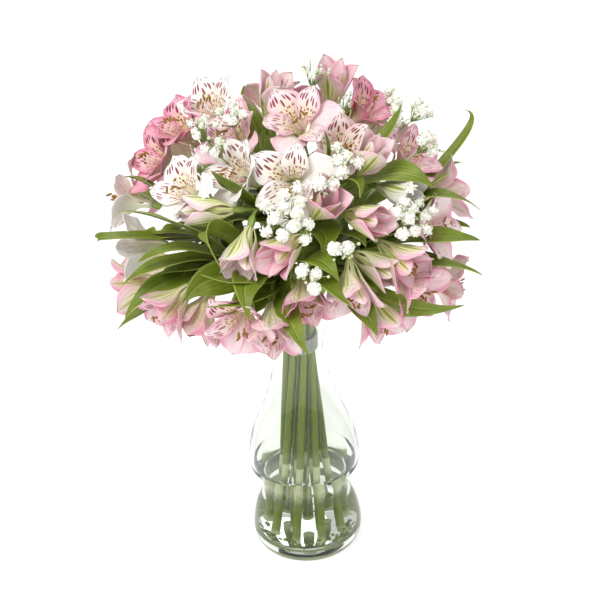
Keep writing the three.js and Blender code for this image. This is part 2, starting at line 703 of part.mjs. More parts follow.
/** One leaf from its stem's upper end, through its middle, to its tip. */
function leafSolid([stem, az1, el1, reach1, az2, el2, reach2, half, twist], [outward, rise], margin) {
  const { ring, slot } = STEMS[stem];
  const [below, umbel] = stemRoute(ring, slot, 0, umbelOf(STEMS[stem])).slice(-2);
  const root = umbel.lerp(below, 0.12 + 0.1 * (half % 1.5));
  const middle = fromMiddle(az1, el1 + rise, reach1 + outward);
  const tip = fromMiddle(az2, el2 + rise, reach2 + outward);
  const bend = middle.multiplyScalar(2).addScaledVector(root, -0.5).addScaledVector(tip, -0.5);
  const path = new THREE.QuadraticBezierCurve3(root, bend, tip);
  const lift = LEAF.thickness / 2 + margin;
  const across = acrossLeaf(path);
  const rings = LEAF.stations.map((t) => {
    const at = path.getPoint(t);
    const along = path.getTangent(t);
    const side = across.clone().addScaledVector(along, -across.dot(along)).normalize();
    side.applyAxisAngle(along, twist * RAD * t);
    const face = side.clone().cross(along);
    const width = leafHalfWidth(half, t) + margin * 2.4;
    return [
      at.clone().addScaledVector(side, -width).addScaledVector(face, LEAF.fold * width),
      at.clone().addScaledVector(face, lift),
      at.clone().addScaledVector(side, width).addScaledVector(face, LEAF.fold * width),
      at.clone().addScaledVector(face, -lift),
    ];
  });
  const beyond = tip.clone().sub(path.getPoint(LEAF.stations.at(-1))).setLength(margin * 2.5);
  return solid(loft(rings, tip.add(beyond)));
}

// ---------------------------------------------------------------- baby's breath

/** The florets of one head: a spiral round the head's middle, domed outward. */
function floretPlaces([azimuth, elevation, reach, count], size) {
  const outward = direction(azimuth, elevation);
  const side = levelAcross(outward);
  const up = outward.clone().cross(side);
  return Array.from({ length: count }, (_, i) => {
    const radius = FLORET.spacing * size * Math.sqrt(i + 0.5);
    const turn = (i * GOLDEN_ANGLE + azimuth) * RAD;
    return fromMiddle(azimuth, elevation, reach - (radius * radius) / 80 + ((i * 7) % 5) - 2)
      .addScaledVector(side, radius * Math.cos(turn))
      .addScaledVector(up, radius * Math.sin(turn));
  });
}

/** A floret on its twig: a three-sided stalk that opens into a six-sided cup with a domed top. */
function floretSolid(root, middle, size, margin) {
  const depth = size * FLORET.depth + margin;
  const along = middle.clone().sub(root).normalize();
  const across = levelAcross(along);
  const up = along.clone().cross(across);
  const ring = (count, radius, height) =>
    Array.from({ length: count }, (_, k) => {
      const turn = (k / count) * 2 * Math.PI;
      return middle
        .clone()
        .addScaledVector(along, height)
        .addScaledVector(across, (radius + margin) * Math.cos(turn))
        .addScaledVector(up, (radius + margin) * Math.sin(turn));
    });
  const start = ring(3, FLORET.root, -middle.distanceTo(root));
  const neck = ring(3, FLORET.twig, -depth);
  const rim = ring(6, size, 0);
  const top = middle.clone().addScaledVector(along, depth);
  const faces = [0, 2, 1];
  for (let k = 0; k < 3; k++) {
    const next = (k + 1) % 3;
    faces.push(k, next, 3 + next, k, 3 + next, 3 + k);
    const [left, mid, right] = [6 + 2 * k, 7 + 2 * k, 6 + ((2 * k + 2) % 6)];
    faces.push(3 + k, 3 + next, mid, 3 + k, mid, left, 3 + next, right, mid);
    faces.push(left, mid, 12, mid, right, 12);
  }
  const points = [...start, ...neck, ...rim, top];
  return solid(new THREE.BufferGeometry().setFromPoints(points).setIndex(faces));
}

const forkOf = ({ azimuth, elevation }) => fromMiddle(azimuth, elevation, 66);

/** A head's stalk from the fork of its spray to the knot under its florets, its middle moved aside. */
function headStalk(spray, [azimuth, elevation, reach], [aside, upward]) {
  const fork = forkOf(spray);
  const hub = fromMiddle(azimuth, elevation, reach - FLORET.stalk);
  const middle = fork.clone().lerp(hub, 0.5).add(vec(0, 0, upward));
  middle.addScaledVector(levelAcross(hub.clone().sub(fork).normalize()), aside);
  return [fork, middle, hub];
}

function headStalkSolid(spray, head, shift, margin) {
  const [fork, middle, hub] = headStalk(spray, head, shift);
  const outward = hub.clone().sub(middle).setLength(FLORET.hub);
  const route = [fork, middle, hub.clone().sub(outward), hub, hub.clone().add(outward)];
  const radii = [FLORET.twig, FLORET.twig, FLORET.twig, FLORET.hub, 1].map((radius) => radius + margin);
  return solid(tube(route, radii, 4));
}

/** A spray's stem and the stalks of its heads. */
function sprayFrame(spray, owner) {
  const radius = FLORET.twig + 0.25;
  const stem = (margin) => {
    const route = stemRoute("spray", spray.slot, spray.footZ - margin, forkOf(spray));
    return solid(tube(route, route.map(() => radius + margin), 4));
  };
  const stalk = (head) => (shift, margin) => headStalkSolid(spray, head, shift, margin);
  const onto = (made, head) => grow(owner, made, stalk(head), STALK_SHIFTS, Infinity);
  return spray.heads.reduce(onto, settle(owner, stem));
}

/** A spray whole: its frame and those of its florets that have room. */
function spraySolid(frame, spray, owner) {
  let made = frame;
  for (const head of spray.heads) {
    const hub = fromMiddle(head[0], head[1], head[2] - FLORET.stalk);
    for (const middle of floretPlaces(head, spray.floret)) {
      const outward = middle.clone().sub(MIDDLE).normalize();
      const shape = (shift, margin) => {
        const end = middle.clone().addScaledVector(outward, shift);
        const root = hub.clone().add(end.clone().sub(hub).setLength(FLORET.hub * 0.6));
        return floretSolid(root, end, spray.floret, margin);
      };
      made = grow(owner, made, shape, FLORET_SHIFTS, 1);
    }
  }
  return made;
}

// ---------------------------------------------------------------- the assembly

const group = new THREE.Group();
const add = (name, made, look) => group.add(meshOf(name, made, look));
const numbered = (name, index) => name + "_" + String(index + 1).padStart(2, "0");

const frames = BLOOMS.map(bloomFrame);
keep("vase", vaseSolid(GAP));
keep("tie", tieSolid(GAP));
add("vase", vaseSolid(0), LOOKS.glass);
add("tie", tieSolid(0), LOOKS.string);

const stems = STEMS.map((stem, i) => settle("stem " + i, (margin) => stemSolid(stem, margin)));
frames.forEach((frame) => {
  const i = stemOf(frame);
  const shape = (shift, margin) => stalkSolid(umbelOf(STEMS[i]), frame, shift, margin);
  stems[i] = grow("stem " + i, stems[i], shape, STALK_SHIFTS, Infinity);
});
const sprayFrames = SPRAYS.map((spray, i) => sprayFrame(spray, "spray " + i));
const standing = placed.filter(({ owner }) => /stem|spray/.test(owner)).map(({ grown }) => grown);
add("water", waterSolid(standing), LOOKS.water);

const blooms = [];
BLOOMS.forEach(([, , , , , , , , partner = blooms.length], i) => {
  const made = placedBloom(i, "bloom " + partner);
  blooms[partner] = blooms[partner]?.add(made) ?? made;
});
blooms.forEach((made, i) => {
  add(numbered("bloom", i), made, { color: TONES[BLOOMS[i][7]], roughness: 0.6 });
});
for (const leaf of LEAVES) {
  const shape = (shift, margin) => leafSolid(leaf, shift, margin);
  stems[leaf[0]] = grow("stem " + leaf[0], stems[leaf[0]], shape, LEAF_SHIFTS, 300);
}
stems.forEach((made, i) => add(numbered("leafy_stem", i), made, LOOKS.foliage));
sprayFrames.forEach((frame, i) => {
  add("spray_" + (i + 1), spraySolid(frame, SPRAYS[i], "spray " + i), LOOKS.floret);
});

export default group;
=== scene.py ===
"""A hand-tied bunch of alstroemeria with baby's breath in a clear glass vase of water, dressed in Blender.

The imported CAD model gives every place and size. Blooms, leaves, stalks and florets repeat the CAD's own
named values and formulas in millimetres, find the variant that each CAD node took, and follow it with
finer meshes and their real finish.
"""

import logging
import math
import random
from dataclasses import dataclass, field
from enum import Enum
from operator import itemgetter
from typing import Callable, Sequence

import bpy
import numpy as np
from mathutils import Matrix, Vector
from mathutils.kdtree import KDTree

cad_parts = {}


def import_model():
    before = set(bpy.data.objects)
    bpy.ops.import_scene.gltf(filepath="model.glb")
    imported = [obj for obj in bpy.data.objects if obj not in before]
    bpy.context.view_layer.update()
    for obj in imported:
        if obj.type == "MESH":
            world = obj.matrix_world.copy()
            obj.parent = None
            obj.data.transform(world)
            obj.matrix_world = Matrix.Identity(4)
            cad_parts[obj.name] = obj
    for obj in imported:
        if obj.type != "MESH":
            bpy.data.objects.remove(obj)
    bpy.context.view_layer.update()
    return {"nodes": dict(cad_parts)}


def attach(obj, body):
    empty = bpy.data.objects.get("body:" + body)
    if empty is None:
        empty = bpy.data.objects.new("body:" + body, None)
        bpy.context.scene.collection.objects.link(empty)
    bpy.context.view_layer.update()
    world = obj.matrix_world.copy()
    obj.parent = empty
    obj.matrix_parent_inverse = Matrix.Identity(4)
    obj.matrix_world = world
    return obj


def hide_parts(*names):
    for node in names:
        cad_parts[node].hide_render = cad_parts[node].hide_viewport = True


log = logging.getLogger("bouquet")
Path = Callable[[np.ndarray], np.ndarray]

MM = 0.001
GOLDEN_ANGLE = 137.508
BODY = "root"


# ---------------------------------------------------------------- small helpers


def mix(a: float, b: float, share: float) -> float:
    """The value that lies that share of the way from a to b."""
    return a + (b - a) * share


def ease(a: float, b: float, x: np.ndarray | float) -> np.ndarray | float:
    """0 before a, 1 after b, and a smooth step between."""
    share = np.clip((np.asarray(x, float) - a) / (b - a), 0, 1)
    return share * share * (3 - 2 * share)


def direction(azimuth: float, elevation: float) -> np.ndarray:
    """A unit vector from azimuth (0 the front, 90 the right) and elevation in degrees."""
    a, e = math.radians(azimuth), math.radians(elevation)
    return np.array([math.sin(a) * math.cos(e), -math.cos(a) * math.cos(e), math.sin(e)])


def unit(v: np.ndarray) -> np.ndarray:
    """The vector at length one, along its last axis."""
    return v / np.maximum(np.linalg.norm(v, axis=-1, keepdims=True), 1e-9)


def level_across(along: np.ndarray) -> np.ndarray:
    """A unit vector across a direction, as level as can be."""
    across = np.cross([0.0, 0.0, 1.0], along)
    return unit(across) if across @ across > 1e-3 else np.array([1.0, 0.0, 0.0])


def turned_about(v: np.ndarray, axis: np.ndarray, angle: float) -> np.ndarray:
    """A vector turned about a unit axis by an angle in radians."""
    c, s = math.cos(angle), math.sin(angle)
    return v * c + np.cross(axis, v) * s + axis * (axis @ v) * (1 - c)


def bezier(a: np.ndarray, b: np.ndarray, c: np.ndarray, t: np.ndarray) -> np.ndarray:
    """Points at shares t along the quadratic curve that starts at a, bends at b and ends at c."""
    t = np.asarray(t, float)[..., None]
    return (1 - t) ** 2 * a + 2 * t * (1 - t) * b + t**2 * c


def linear(hex_colour: str) -> tuple[float, float, float, float]:
    """An sRGB hex colour as linear red, green, blue and alpha."""
    parts = [int(hex_colour[i : i + 2], 16) / 255 for i in (1, 3, 5)]
    return (*(p / 12.92 if p <= 0.04045 else ((p + 0.055) / 1.055) ** 2.4 for p in parts), 1.0)


def deselect() -> None:
    """Leaves object mode with nothing selected."""
    if bpy.context.object and bpy.context.object.mode != "OBJECT":
        bpy.ops.object.mode_set(mode="OBJECT")
    bpy.ops.object.select_all(action="DESELECT")


def only(piece: bpy.types.Object) -> bpy.types.Object:
    """Selects one piece alone and makes it the active one.

    Args:
        piece: The piece.

    Returns:
        The same piece.
    """
    deselect()
    piece.select_set(True)
    bpy.context.view_layer.objects.active = piece
    return piece


def joined(name: str, pieces: Sequence[bpy.types.Object]) -> bpy.types.Object:
    """Joins pieces into the first of them and names it.

    Args:
        name: The name of the joined piece.
        pieces: The pieces, at least one.

    Returns:
        The joined piece.
    """
    only(pieces[0])
    for piece in pieces[1:]:
        piece.select_set(True)
    if len(pieces) > 1:
        bpy.ops.object.join()
    pieces[0].name = pieces[0].data.name = name
    return pieces[0]


def finished(
    piece: bpy.types.Object,
    slot: str | None = None,
    nodes: Sequence[str] = (),
    smooth: float | None = None,
) -> bpy.types.Object:
    """Smooths a piece, lets it ride on the part and hides the CAD nodes that it stands for.

    Args:
        piece: The piece, in place.
        slot: Not used.
        nodes: The CAD nodes that it stands for.
        smooth: The edge angle in degrees up to which it is shaded smooth, or None for all of it.

    Returns:
        The same piece.
    """
    only(piece)
    if smooth is None:
        bpy.ops.object.shade_smooth()
    else:
        bpy.ops.object.shade_smooth_by_angle(angle=math.radians(smooth))
    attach(piece, BODY)
    if nodes:
        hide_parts(*nodes)
    log.info("%s: %d faces", piece.name, len(piece.data.polygons))
    return piece


def apply_modifier(piece: bpy.types.Object, kind: str, **settings: object) -> None:
    """Adds a modifier with its settings to a piece and applies it.

    Args:
        piece: The piece.
        kind: Blender's name of the modifier.
        settings: The modifier's own properties.
    """
    only(piece)
    bpy.ops.object.modifier_add(type=kind)
    modifier = piece.modifiers[-1]
    for name, value in settings.items():
        setattr(modifier, name, value)
    bpy.ops.object.modifier_apply(modifier=modifier.name)


def dress(piece: bpy.types.Object, *skins: bpy.types.Material) -> None:
    """Gives a piece its materials, in place of any that it has.

    Args:
        piece: The piece.
        skins: The materials in their order.
    """
    piece.data.materials.clear()
    for skin in skins:
        piece.data.materials.append(skin)


def thickened(piece: bpy.types.Object, thickness_mm: float, *skins: bpy.types.Material) -> None:
    """Gives a thin sheet its skins, the outer face's first, and its thickness."""
    dress(piece, *skins)
    apply_modifier(piece, "SOLIDIFY", thickness=thickness_mm * MM, offset=0.0, material_offset=len(skins) - 1)


def mark(piece: bpy.types.Object, name: str, values: np.ndarray) -> None:
    """Stores a number at each corner of a piece, for its finish to read."""
    layer = piece.data.attributes.new(name, "FLOAT", "POINT")
    layer.data.foreach_set("value", np.asarray(values, np.float32))


def at_height(z: float) -> np.ndarray:
    """The point on the vase's axis at a height in millimetres."""
    return np.array([0.0, 0.0, z])


# ---------------------------------------------------------------- blanks that are shaped and copied


class Blank:
    """A plain mesh that is modelled once; each copy is shaped by moving its corners."""

    def __init__(self, source: bpy.types.Object) -> None:
        """Keeps the mesh of a source object and takes the object out of the scene.

        Args:
            source: The object that is the blank.
        """
        self.mesh = source.data
        self.mesh.use_fake_user = True
        bpy.data.objects.remove(source)
        co = np.empty(len(self.mesh.vertices) * 3)
        self.mesh.vertices.foreach_get("co", co)
        self.co = co.reshape(-1, 3)

    def shaped(self, name: str, places: np.ndarray) -> bpy.types.Object:
        """A copy with its own mesh, its corners at the given places in millimetres.

        Args:
            name: The name of the copy.
            places: One place per corner.

        Returns:
            The copy.
        """
        mesh = self.mesh.copy()
        mesh.use_fake_user = False
        mesh.vertices.foreach_set("co", (np.asarray(places, float) * MM).ravel())
        mesh.update()
        piece = bpy.data.objects.new(name, mesh)
        bpy.context.scene.collection.objects.link(piece)
        return piece


def sheet_blank(across: int, along: int, count: int = 1) -> Blank:
    """A blank of flat sheets: x from -0.5 to 0.5 across, y from -0.5 to 0.5 along, z the sheet's number.

    Args:
        across: Faces across each sheet.
        along: Faces along each sheet.
        count: How many sheets there are.

    Returns:
        The blank.
    """
    sheets = []
    for number in range(count):
        deselect()
        at = (0, 0, number)
        bpy.ops.mesh.primitive_grid_add(x_subdivisions=across, y_subdivisions=along, size=1, location=at)
        sheet = bpy.context.object
        bpy.ops.object.transform_apply(location=True, rotation=True, scale=True)
        sheets.append(sheet)
    return Blank(joined("sheet_blank", sheets))


def rod_blank(sides: int, rings: int) -> Blank:
    """A blank rod: radius 1, z from 0 at its foot to 1 at its top, cut into rings of corners.

    Args:
        sides: Corners round the rod.
        rings: Rings of corners along it.

    Returns:
        The blank.
    """
    deselect()
    bpy.ops.mesh.primitive_cylinder_add(vertices=sides, radius=1, depth=1, location=(0, 0, 0.5))
    bpy.ops.object.transform_apply(location=True, rotation=True, scale=True)
    bpy.ops.object.mode_set(mode="EDIT")
    for ring in range(1, rings - 1):
        bpy.ops.mesh.select_all(action="SELECT")
        bpy.ops.mesh.bisect(plane_co=(0, 0, ring / (rings - 1)), plane_no=(0, 0, 1))
    bpy.ops.object.mode_set(mode="OBJECT")
    return Blank(bpy.context.object)


@dataclass
class Rods:
    """Round stalks, swept along a path from one blank."""

    sides: int = 8
    rings: int = 12
    blank: Blank = field(init=False)

    def __post_init__(self) -> None:
        """Models the blank."""
        self.blank = rod_blank(self.sides, self.rings)

    def along(self, name: str, path: Path, radii: Sequence[float]) -> bpy.types.Object:
        """A rod along a path.

        Args:
            name: The name of the piece.
            path: Gives points in millimetres at shares from 0 to 1.
            radii: Radii in millimetres, spread evenly over the path.

        Returns:
            The rod.
        """
        t = np.linspace(0, 1, self.rings)
        centres = path(t)
        tangents = unit(np.gradient(centres, axis=0))
        radius = np.interp(t, np.linspace(0, 1, len(radii)), radii)
        across = level_across(tangents[0])
        sides, ups = [], []
        for tangent in tangents:
            across = unit(across - tangent * (across @ tangent))
            sides.append(across)
            ups.append(np.cross(tangent, across))
        ring = np.rint(self.blank.co[:, 2] * (self.rings - 1)).astype(int)
        x, y = self.blank.co[:, :1], self.blank.co[:, 1:2]
        places = centres[ring] + radius[ring, None] * (x * np.array(sides)[ring] + y * np.array(ups)[ring])
        return self.blank.shaped(name, places)


def through(points: Sequence[np.ndarray]) -> Path:
    """A smooth path through points, with even shares of its length between t of 0 and 1.

    Args:
        points: The points, at least two.

    Returns:
        The path.
    """
    knots = np.array(points, float)
    padded = np.vstack([2 * knots[0] - knots[1], knots, 2 * knots[-1] - knots[-2]])
    fine = []
    for i in range(1, len(padded) - 2):
        a, b, c, d = padded[i - 1 : i + 3]
        u = np.linspace(0, 1, 9)[: 9 if i == len(padded) - 3 else 8, None]
        square, cube = 2 * a - 5 * b + 4 * c - d, 3 * b - a - 3 * c + d
        fine.append(0.5 * (2 * b + (c - a) * u + square * u**2 + cube * u**3))
    line = np.vstack(fine)
    reach = np.r_[0, np.cumsum(np.linalg.norm(np.diff(line, axis=0), axis=1))]
    reach /= reach[-1]

    def path(t: np.ndarray) -> np.ndarray:
        """Points at shares t of the path's length."""
        return np.stack([np.interp(t, reach, line[:, k]) for k in range(3)], axis=-1)

    return path


class Corners:
    """The corners of a CAD node, in millimetres, for finding the variant of a shape that it holds."""

    def __init__(self, node: bpy.types.Object) -> None:
        """Reads the node's corners.

        Args:
            node: The CAD node.
        """
        co = np.empty(len(node.data.vertices) * 3)
        node.data.vertices.foreach_get("co", co)
        self.points = np.unique(co.reshape(-1, 3).round(6), axis=0) / MM
        self.tree = KDTree(len(self.points))
        for i, point in enumerate(self.points):
            self.tree.insert(point, i)
        self.tree.balance()

    def holds(self, places: np.ndarray, slack: float = 0.03) -> int:
        """How many of the places have a corner."""
        return sum(self.tree.find(place)[2] < slack for place in places)

    def around(self, centre: np.ndarray, radius: float, slack: float = 0.012) -> int:
        """How many corners lie at that distance from a point."""
        return int((abs(np.linalg.norm(self.points - centre, axis=1) - radius) < slack).sum())


# ---------------------------------------------------------------- finishes


TIMES = {"operation": "MULTIPLY"}
PLUS = {"operation": "ADD"}
LESS = {"operation": "SUBTRACT"}
SIZE_OF = {"operation": "ABSOLUTE"}
TIMES_PLUS = {"operation": "MULTIPLY_ADD"}
SMOOTH = {"interpolation_type": "SMOOTHSTEP"}


class Paint:
    """Layers of colour on one material, each laid over the last where a mask says.

    A mask is a number between 0 and 1 over the surface: a node, whose first output is meant, a pair of a
    node and its output, or a plain number.
    """

    def __init__(self, name: str) -> None:
        """Makes the material with its surface shader and the coordinates that the masks read.

        Args:
            name: The material's name.
        """
        self.material = bpy.data.materials.new(name)
        self.material.use_nodes = True
        self.tree = self.material.node_tree
        self.surface = self.tree.nodes["Principled BSDF"]
        coordinates = self.add("TexCoord")
        self.place, self.uv = (coordinates, "Object"), (coordinates, "UV")
        split = self.add("SeparateXYZ", self.uv)
        self.u, self.v = (split, 0), (split, 1)
        self.colour: tuple | None = None

    def add(self, kind: str, *values: object, **named: object) -> bpy.types.Node:
        """Adds a shader node with its settings and links.

        Args:
            kind: Blender's name of the node type, without its leading "ShaderNode".
            values: What goes into the first inputs: a plain value, a node or a pair of a node and its
                output that is linked, or None for an input that is left alone.
            named: The same for inputs by their name, which has a capital, and the node's own properties.

        Returns:
            The new node.
        """
        node = self.tree.nodes.new(f"ShaderNode{kind}")
        sockets = {i: value for i, value in enumerate(values) if value is not None}
        for name, value in named.items():
            if name[0].isupper():
                sockets[name] = value
            else:
                setattr(node, name, value)
        for socket, value in sockets.items():
            if isinstance(value, bpy.types.Node):
                value = (value, 0)
            if isinstance(value, tuple) and isinstance(value[0], bpy.types.Node):
                self.tree.links.new(value[0].outputs[value[1]], node.inputs[socket])
            else:
                node.inputs[socket].default_value = value
        return node

    def lay(self, colour: str, mask: object = None) -> None:
        """Lays a colour over what is there.

        Args:
            colour: The colour in hex.
            mask: Where it shows; the first colour has none.
        """
        if self.colour is None:
            self.colour = (self.add("RGB"), 0)
            self.colour[0].outputs[0].default_value = linear(colour)
            return
        # The colour sockets of a Mix node come after five of other kinds.
        inputs = (mask, *[None] * 5, self.colour, linear(colour))
        self.colour = (self.add("Mix", *inputs, data_type="RGBA"), 2)

    def relief(self, height: object, depth_mm: float, strength: float = 1.0) -> None:
        """Gives the surface fine relief.

        Args:
            height: The mask that says how high it is.
            depth_mm: The relief's depth in millimetres.
            strength: How much of it shows.
        """
        bump = self.add("Bump", Height=height, Distance=depth_mm * MM, Strength=strength)
        self.tree.links.new(bump.outputs[0], self.surface.inputs["Normal"])

    def done(self, **sockets: object) -> bpy.types.Material:
        """Links the colour and sets the shader's own sockets.

        Args:
            sockets: The values by the socket's name, with _ for a space.

        Returns:
            The material.
        """
        if self.colour:
            self.tree.links.new(self.colour[0].outputs[self.colour[1]], self.surface.inputs["Base Color"])
        for name, value in sockets.items():
            self.surface.inputs[name.replace("_", " ")].default_value = value
        return self.material


class Side(Enum):
    """The two faces of a tepal or leaf: the one that looks into the bloom and the one that looks out."""

    OUTER = "outer"
    INNER = "inner"


@dataclass(frozen=True)
class TepalFinish:
    """Living tepal tissue: a thin moist skin over watery cells, satin, a little translucent.

    The blade is paler in its middle, the claw goes to cream green, veins run its whole length, and the
    tepals that look up carry dark dashes that converge on a pale yellow throat.
    """

    name: str
    claw: str
    blade: str
    edge: str
    deep: str
    dash: str
    throat: str = "#f4e3a8"
    green: str = "#99a52c"
    width: float = 24.0

    def material(self, side: Side) -> bpy.types.Material:
        """The material of one face; how far each tepal is marked is its own attribute.

        Args:
            side: The face.

        Returns:
            The material.
        """
        paint = Paint(f"tepal_{self.name}_{side.value}_skin")
        add, v = paint.add, paint.v
        across = add("Math", add("Math", paint.u, 2.0, -1.0, **TIMES_PLUS), **SIZE_OF)
        tint, young = ((add("Attribute", attribute_name=name), "Fac") for name in ("tint", "young"))
        # Veins a millimetre or two apart run from the claw to the tip.
        grain = add("Mapping", paint.uv, Scale=(self.width * 0.9, 2.2, 1.0))
        veins = add("TexNoise", grain, Scale=1.0, Detail=3.0)
        cloud = add("TexNoise", add("Mapping", paint.uv, Scale=(2.2, 3.0, 1.0)), Scale=1.3, Detail=2.0)
        uneven = add("Math", add("Math", cloud, 0.5, **TIMES), add("Math", veins, 0.35, **TIMES), **PLUS)
        rim = add("Math", across, add("Math", v, 0.35, **TIMES), **PLUS)
        near_edge = add("MapRange", rim, 0.35, 1.25, **SMOOTH)
        paint.lay(self.blade)
        paint.lay(self.edge, add("Math", near_edge, add("MapRange", uneven, 0.15, 0.6, **SMOOTH), **TIMES))
        paint.lay(self.deep, add("Math", add("MapRange", veins, 0.5, 0.72, **SMOOTH), 0.28, **TIMES))
        paint.lay(self.edge, add("Math", tint, 0.38, **TIMES))
        if side is Side.OUTER:
            self._ribs(paint, across, young)
        else:
            paint.lay(self.claw, add("Math", add("MapRange", v, 0.45, 0.12, **SMOOTH), 0.8, **TIMES))
        self._dashes(paint, across, 0.2 if side is Side.OUTER else 1.0)
        paint.lay(self.green, add("Math", add("MapRange", v, 0.95, 0.995, **SMOOTH), 0.8, **TIMES))
        paint.relief(veins, 0.22, 0.5)
        return paint.done(
            Roughness=0.46,
            IOR=1.4,
            Subsurface_Weight=0.18,
            Subsurface_Radius=(0.8, 0.5, 0.55),
            Subsurface_Scale=2.2 * MM,
        )

    def _ribs(self, paint: Paint, across: object, young: object) -> None:
        """Lays the cream-green claw, and on young tepals the cream-green middle with its stripes.

        Args:
            paint: The outer face's paint.
            across: How far a place is from the midrib, from 0 to 1.
            young: How young the tepal is, from 0 to 1.
        """
        add, v = paint.add, paint.v
        cover = add("Math", young, 0.4, 0.5, **TIMES_PLUS)
        paint.lay(self.claw, add("Math", add("MapRange", v, 0.68, 0.2, **SMOOTH), cover, **TIMES))
        low = add("MapRange", v, 1.0, 0.55, **SMOOTH)
        middle = add("Math", add("MapRange", across, 0.7, 0.2, **SMOOTH), low, **TIMES)
        paint.lay(self.claw, add("Math", add("Math", middle, young, **TIMES), 0.75, **TIMES))
        stripes = []
        for centre, reach, core in ((0.31, 0.09, 0.01), (0.52, 0.05, 0.0)):
            off = add("Math", add("Math", across, centre, **LESS), **SIZE_OF)
            stripes.append(add("MapRange", off, reach, core, **SMOOTH))
        beside = add("Math", stripes[0], add("Math", stripes[1], 0.6, **TIMES), operation="MAXIMUM")
        lines = add("Math", beside, add("MapRange", v, 0.86, 0.4, **SMOOTH), **TIMES)
        midrib = add("MapRange", across, 0.17, 0.04, **SMOOTH)
        midrib = add("Math", midrib, add("MapRange", v, 1.05, 0.7, **SMOOTH), **TIMES)
        ribs = add("Math", midrib, lines, operation="MAXIMUM")
        paint.lay(self.green, add("Math", ribs, add("Math", young, 0.72, 0.23, **TIMES_PLUS), **TIMES))

    def _dashes(self, paint: Paint, across: object, strength: float) -> None:
        """Lays the yellow throat and its marks: bold dashes on the blade, small ones near the claw.

        Args:
            paint: The face's paint.
            across: How far a place is from the midrib, from 0 to 1.
            strength: How much of the marks this face shows.
        """
        add, v = paint.add, paint.v
        streak = (add("Attribute", attribute_name="streak"), "Fac")
        rise = add("MapRange", v, 0.15, 0.35, **SMOOTH)
        throat = add("Math", rise, add("MapRange", v, 0.74, 0.4, **SMOOTH), **TIMES)
        throat = add("Math", throat, add("MapRange", across, 0.95, 0.1, **SMOOTH), **TIMES)
        throat = add("Math", throat, streak, **TIMES)
        paint.lay(self.throat, add("Math", throat, 0.75 * strength, **TIMES))
        # Cells of 2.8 by 9 mm on the blade and of 1.8 by 3.5 mm near the claw, each with one mark in it.
        bold, small = ((8.5, 4.8, 1.0), 0.5, 0.93, 0.15), ((13.0, 12.0, 1.0), 0.3, 0.58, 0.18)
        for scale, low, high, thick in (bold, small):
            grid = add("Mapping", paint.uv, Scale=scale)
            cells = add("TexVoronoi", grid, Scale=1.0, Randomness=0.7, voronoi_dimensions="2D")
            size = add("Math", add("SeparateXYZ", (cells, "Color")), 0.2, thick, **TIMES_PLUS)
            dash = add("Math", (cells, "Distance"), size, operation="LESS_THAN")
            where = add("MapRange", v, low, low + 0.06, **SMOOTH)
            where = add("Math", where, add("MapRange", v, high, high - 0.06, **SMOOTH), **TIMES)
            where = add("Math", where, add("MapRange", across, 0.95, 0.8, **SMOOTH), **TIMES)
            shown = add("Math", add("Math", dash, where, **TIMES), streak, **TIMES)
            paint.lay(self.dash, add("Math", shown, 0.95 * strength, **TIMES))


@dataclass(frozen=True)
class LeafFinish:
    """A lance-shaped monocot leaf: smooth waxy skin, parallel veins, a paler underside and edge; the dark of
    its inner face is partly its own colour and partly painted shade.
    """

    dark: str = "#304206"
    light: str = "#748723"
    pale: str = "#bcc566"

    def material(self, side: Side) -> bpy.types.Material:
        """The material of the leaf's upper (inner) or lower (outer) face.

        Args:
            side: The face.

        Returns:
            The material.
        """
        paint = Paint(f"leaf_{side.value}_cuticle")
        add = paint.add
        across = add("Math", add("Math", paint.u, 2.0, -1.0, **TIMES_PLUS), **SIZE_OF)
        tint = (add("Attribute", attribute_name="tint"), "Fac")
        veins = add("TexNoise", add("Mapping", paint.uv, Scale=(34.0, 0.5, 1.0)), Scale=1.0, Detail=1.0)
        cloud = add("TexNoise", paint.place, Scale=60.0, Detail=3.0)
        # The inner face is laid dark: partly the leaf's own deeper green, partly painted shade of the bunch's
        # interior.
        paint.lay(self.dark if side is Side.INNER else self.light)
        paint.lay(self.light, add("Math", tint, 0.75, **TIMES))
        # Per layer: its colour, what it follows, where that starts and ends to show, and how much it covers.
        for colour, source, start, end, cover in (
            (self.light, veins, 0.48, 0.6, 0.7),
            (self.dark, veins, 0.45, 0.36, 0.6),
            (self.pale, cloud, 0.5, 0.75, 0.22),
            (self.pale, across, 0.93, 1.0, 0.6),
            (self.pale, across, 0.07, 0.0, 0.45),
            (self.pale, paint.v, 0.25, 0.0, 0.5),
        ):
            paint.lay(colour, add("Math", add("MapRange", source, start, end, **SMOOTH), cover, **TIMES))
        paint.relief(veins, 0.3, 0.6)
        return paint.done(Roughness=0.42, IOR=1.42, Subsurface_Weight=0.08, Subsurface_Scale=1.0 * MM)


